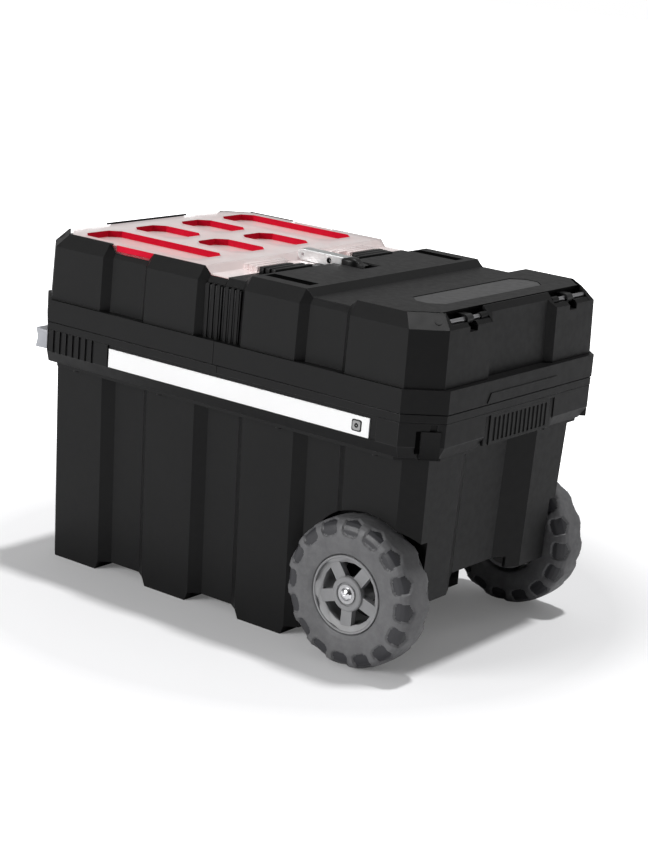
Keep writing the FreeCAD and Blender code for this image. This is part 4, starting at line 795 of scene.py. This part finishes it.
def make_junction_ribs():
    """Ribs along Y beside the latch, on both modules, just under the level of the deck."""
    foot, top = DECK - 8.2 * MM, DECK - 0.8 * MM
    for sign, body, material, slot in ((1, "storage_lid", BLACK, "body_black"),
                                       (-1, "clear_lid", FROSTED, "clear_plastic")):
        bm = bmesh.new()
        for across in (-1, 1):
            for away, start, end in JUNCTION_RIBS:
                x = JOIN + sign * away * MM
                add_box(bm, (x - JUNCTION_RIB_HALF, across * start * MM, foot),
                        (x + JUNCTION_RIB_HALF, across * end * MM, top))
        bevel_edges(bm, width=0.5 * MM)
        finish_mesh("form_junction_ribs", bm, body, material)


SIDE_RIBS = ((1.0, 3.5), (8.8, 11.4), (16.8, 19.4), (24.8, 26.4))  # from and to, away from the join


def make_side_ribs():
    """Narrower ribs between the upright grip ribs on both sides of the junction."""
    foot, top = 333 * MM, 394.5 * MM
    for sign, body in ((1, "storage"), (-1, "organizer")):
        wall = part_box(body + "_tray")[1].y - 12.5 * MM
        back, front = wall - 1 * MM, wall + 2.6 * MM
        for across in (-1, 1):
            bm = bmesh.new()
            for start, end in SIDE_RIBS:
                add_box(bm, (JOIN + sign * start * MM, across * back, foot),
                        (JOIN + sign * end * MM, across * front, top))
            bevel_edges(bm, width=0.5 * MM)
            finish_mesh("form_side_ribs", bm, body, BLACK)


def make_deck_slot_shade():
    """Flush black stripes over the two long slots in the storage lid, a hair proud of the deck: painted
    shade where the slots lie in shade.
    """
    start, end = JOIN + 39 * MM, JOIN + 103 * MM
    inner, outer = 137.5 * MM, 154.5 * MM
    foot, top = DECK - 1.6 * MM, DECK + 0.12 * MM
    for sign in (-1, 1):
        bm = bmesh.new()
        add_box(bm, (start, sign * inner, foot), (end, sign * outer, top))
        bevel_edges(bm, width=0.1 * MM)
        finish_mesh("form_deck_slot_shade", bm, "storage_lid", PAINTED_SHADE)


HINGE_BAYS = ((68, 96.6), (112.9, 141.5))  # from and to, across
HINGE_FLOOR = (268, 291.3, 287.6)  # away from the join: the inner side, the outer foot and the outer top
HINGE_SLEEVE = ((68.2, 2.8), (68.2, 4.3), (82, 4.3), (82, 2.8))  # distance across, and radius


def make_hinge_floors():
    """Floors under the hinge pins in the rim's bays, and the sleeve that covers one end of each pin."""
    foot, top = 397.3 * MM, 401.4 * MM
    for sign, body in ((1, "storage"), (-1, "organizer")):
        low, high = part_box(body + "_hinge_pins")
        inner, outer, upper = (JOIN + sign * away * MM for away in HINGE_FLOOR)
        outline = [(inner, foot), (outer, foot), (upper, top), (inner, top)]
        for across in (-1, 1):
            bm = bmesh.new()
            for start, end in HINGE_BAYS:
                add_prism(bm, outline, Y_AXIS, *sorted((across * start * MM, across * end * MM)))
            bevel_edges(bm, width=0.4 * MM)
            lathe(bm, HINGE_SLEEVE, (low + high) / 2, steps=28, side=across)
            finish_mesh("form_hinge_floor", bm, body, BLACK)


CORNER_INSET = 18.5 * MM  # from the collar's sides to the middle of a corner
# A plate across each corner and a flush black stripe of painted shade for a slot beside it, in millimetres:
# from and to along the diagonal, back and front, foot and top; then the material and how far the edges are
# rounded.
CORNER_PLATES = ((-1.0, 21.0, -9.0, 1.1, 256.0, 287.0, BLACK, 0.5),
                 (-6.4, -1.6, -3.0, 0.15, 262.0, 287.0, PAINTED_SHADE, 0.05))


def make_corner_plates(across):
    """A plate in the collar's corner on one side of the wheel end, and beside it a flush black stripe of
    painted shade for a slot.
    """
    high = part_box("collar")[1]
    centre = Vector((high.x - CORNER_INSET, across * (high.y - CORNER_INSET), 0))
    along = Vector((1, -across, 0)).normalized()
    outward = Vector((1, across, 0)).normalized()
    for start, end, back, front, foot, top, material, soft in CORNER_PLATES:
        bm = bmesh.new()
        for vert in add_box(bm, (start * MM, back * MM, foot * MM), (end * MM, front * MM, top * MM)):
            vert.co = centre + along * vert.co.x + outward * vert.co.y + Vector((0, 0, vert.co.z))
        bevel_edges(bm, width=soft * MM)
        finish_mesh("form_corner_plate", bm, "base", material)


def make_grip_cheek(across):
    """The cheek beside the lift grip on one side."""
    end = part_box("collar")[1].x
    back, front = end - 5 * MM, end - 1.2 * MM
    inner, outer = 63.1 * MM, 73 * MM
    foot, top = 258 * MM, 292.6 * MM
    bm = bmesh.new()
    add_box(bm, (back, across * inner, foot), (front, across * outer, top))
    bevel_edges(bm, width=0.6 * MM)
    finish_mesh("form_grip_cheek", bm, "base", BLACK)


def make_end_pad():
    """A pad above the lift grip, narrower at its top."""
    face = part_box("storage_tray")[1].x
    foot, top, proud = 308 * MM, 319 * MM, 1 * MM
    outline = [(-76 * MM, foot), (76 * MM, foot), (70 * MM, top), (-70 * MM, top)]
    bm = bmesh.new()
    add_prism(bm, outline, X_AXIS, face - proud, face + proud)
    bevel_edges(bm, width=0.4 * MM)
    finish_mesh("form_end_pad", bm, "storage", BLACK)


make_strip_buttons()
make_junction_ribs()
make_side_ribs()
make_deck_slot_shade()
make_hinge_floors()
for end_side in (-1, 1):
    make_corner_plates(end_side)
    make_grip_cheek(end_side)
make_end_pad()


# --- stage, lights and camera --------------------------------------------------------------------

FLOOR_HALF, FLOOR_THICK = 12, 0.02
CAMERA_SIDE = (0.60, -0.77, 0.20)  # the direction from which the camera looks, for reflections

# The camera, fitted to the outlines of the box and to both wheels on one floor.
CAMERA_PLACE = Vector((1.4587, -1.9588, 0.8522))
CAMERA_AZIMUTH = math.radians(36.125)
CAMERA_ELEVATION = math.radians(15.041)
CAMERA_ROLL = math.radians(4.763)
FOCAL_PIXELS = 2063.3
FRAME_HEIGHT = 864  # pixels
SENSOR_HEIGHT = 36.0  # millimetres


def make_floor():
    """A white floor that glows to the camera, so that it runs into the background, and keeps shadows."""
    bm = bmesh.new()
    add_box(bm, (-FLOOR_HALF, -FLOOR_HALF, -FLOOR_THICK), (FLOOR_HALF, FLOOR_HALF, 0))
    mesh = new_mesh("floor", bm)
    material = bpy.data.materials.new("floor_white")
    material.use_nodes = True
    material.node_tree.nodes.clear()
    tree = Nodes(material.node_tree)
    away = tree.add("ShaderNodeVectorMath", {0: tree.coordinates["Object"]}, operation="LENGTH")
    fade = tree.ranged(away.outputs["Value"], low=0.10, high=1.1, first=0.40, last=0.90)
    glow = tree.add("ShaderNodeEmission", {"Strength": tree.times(tree.ray("Is Camera Ray"), fade)})
    diffuse = tree.add("ShaderNodeBsdfDiffuse", {"Color": (0.82, 0.82, 0.83)})
    both = tree.add("ShaderNodeAddShader", {0: diffuse.outputs[0], 1: glow.outputs[0]})
    tree.add("ShaderNodeOutputMaterial", {"Surface": both.outputs[0]})
    mesh.materials.append(material)
    floor = link_object("floor", mesh)


def make_world():
    """White to the camera; to reflections bright all round but dim on the side that the camera is on."""
    world = bpy.data.worlds.new("studio")
    bpy.context.scene.world = world
    world.use_nodes = True
    tree = Nodes(world.node_tree)
    toward = tree.add("ShaderNodeVectorMath", {0: tree.coordinates["Generated"], 1: CAMERA_SIDE},
                      operation="DOT_PRODUCT")
    dimmed = tree.ranged(toward.outputs["Value"], low=0.36, high=0.05, first=0.35, last=0.85,
                         interpolation_type="SMOOTHSTEP")
    inputs = {MIX_FACTOR: tree.ray("Is Camera Ray"), MIX_FLOAT_A: dimmed, MIX_FLOAT_B: 1.0}
    strength = tree.add("ShaderNodeMix", inputs, data_type="FLOAT").outputs[MIX_FLOAT_OUT]
    tree.feed(world.node_tree.nodes["Background"], {"Color": (1, 1, 1), "Strength": strength})


def make_sun(name, toward, strength, softness):
    """A soft, even light from one direction. The softness is an angle in degrees."""
    light = bpy.data.lights.new(name, "SUN")
    light.energy = strength
    light.angle = math.radians(softness)
    lamp = link_object(name, light)
    lamp.location = toward
    lamp.rotation_euler = Vector(toward).to_track_quat("Z", "Y").to_euler()


def make_camera():
    """A camera turned by azimuth, elevation and roll about its own place."""
    sin_a, cos_a = math.sin(CAMERA_AZIMUTH), math.cos(CAMERA_AZIMUTH)
    sin_e, cos_e = math.sin(CAMERA_ELEVATION), math.cos(CAMERA_ELEVATION)
    sin_r, cos_r = math.sin(CAMERA_ROLL), math.cos(CAMERA_ROLL)
    back = Vector((sin_a * cos_e, -cos_a * cos_e, sin_e))
    right = Vector((cos_a, sin_a, 0))
    up = back.cross(right)
    turned = Matrix((cos_r * right + sin_r * up, cos_r * up - sin_r * right, back)).transposed()
    data = bpy.data.cameras.new("camera")
    data.sensor_fit = "VERTICAL"
    data.sensor_height = SENSOR_HEIGHT
    data.lens = FOCAL_PIXELS / FRAME_HEIGHT * SENSOR_HEIGHT
    camera = link_object("camera", data)
    camera.matrix_world = Matrix.Translation(CAMERA_PLACE) @ turned.to_4x4()
    bpy.context.scene.camera = camera


make_floor()
make_world()
make_sun("light_above", toward=(0.07, 0.15, 1.0), strength=1.85, softness=4.5)
make_sun("light_front_left", toward=(-0.40, -0.90, 0.34), strength=1.9, softness=26.0)
make_camera()
bpy.context.scene.view_settings.view_transform = "Standard"
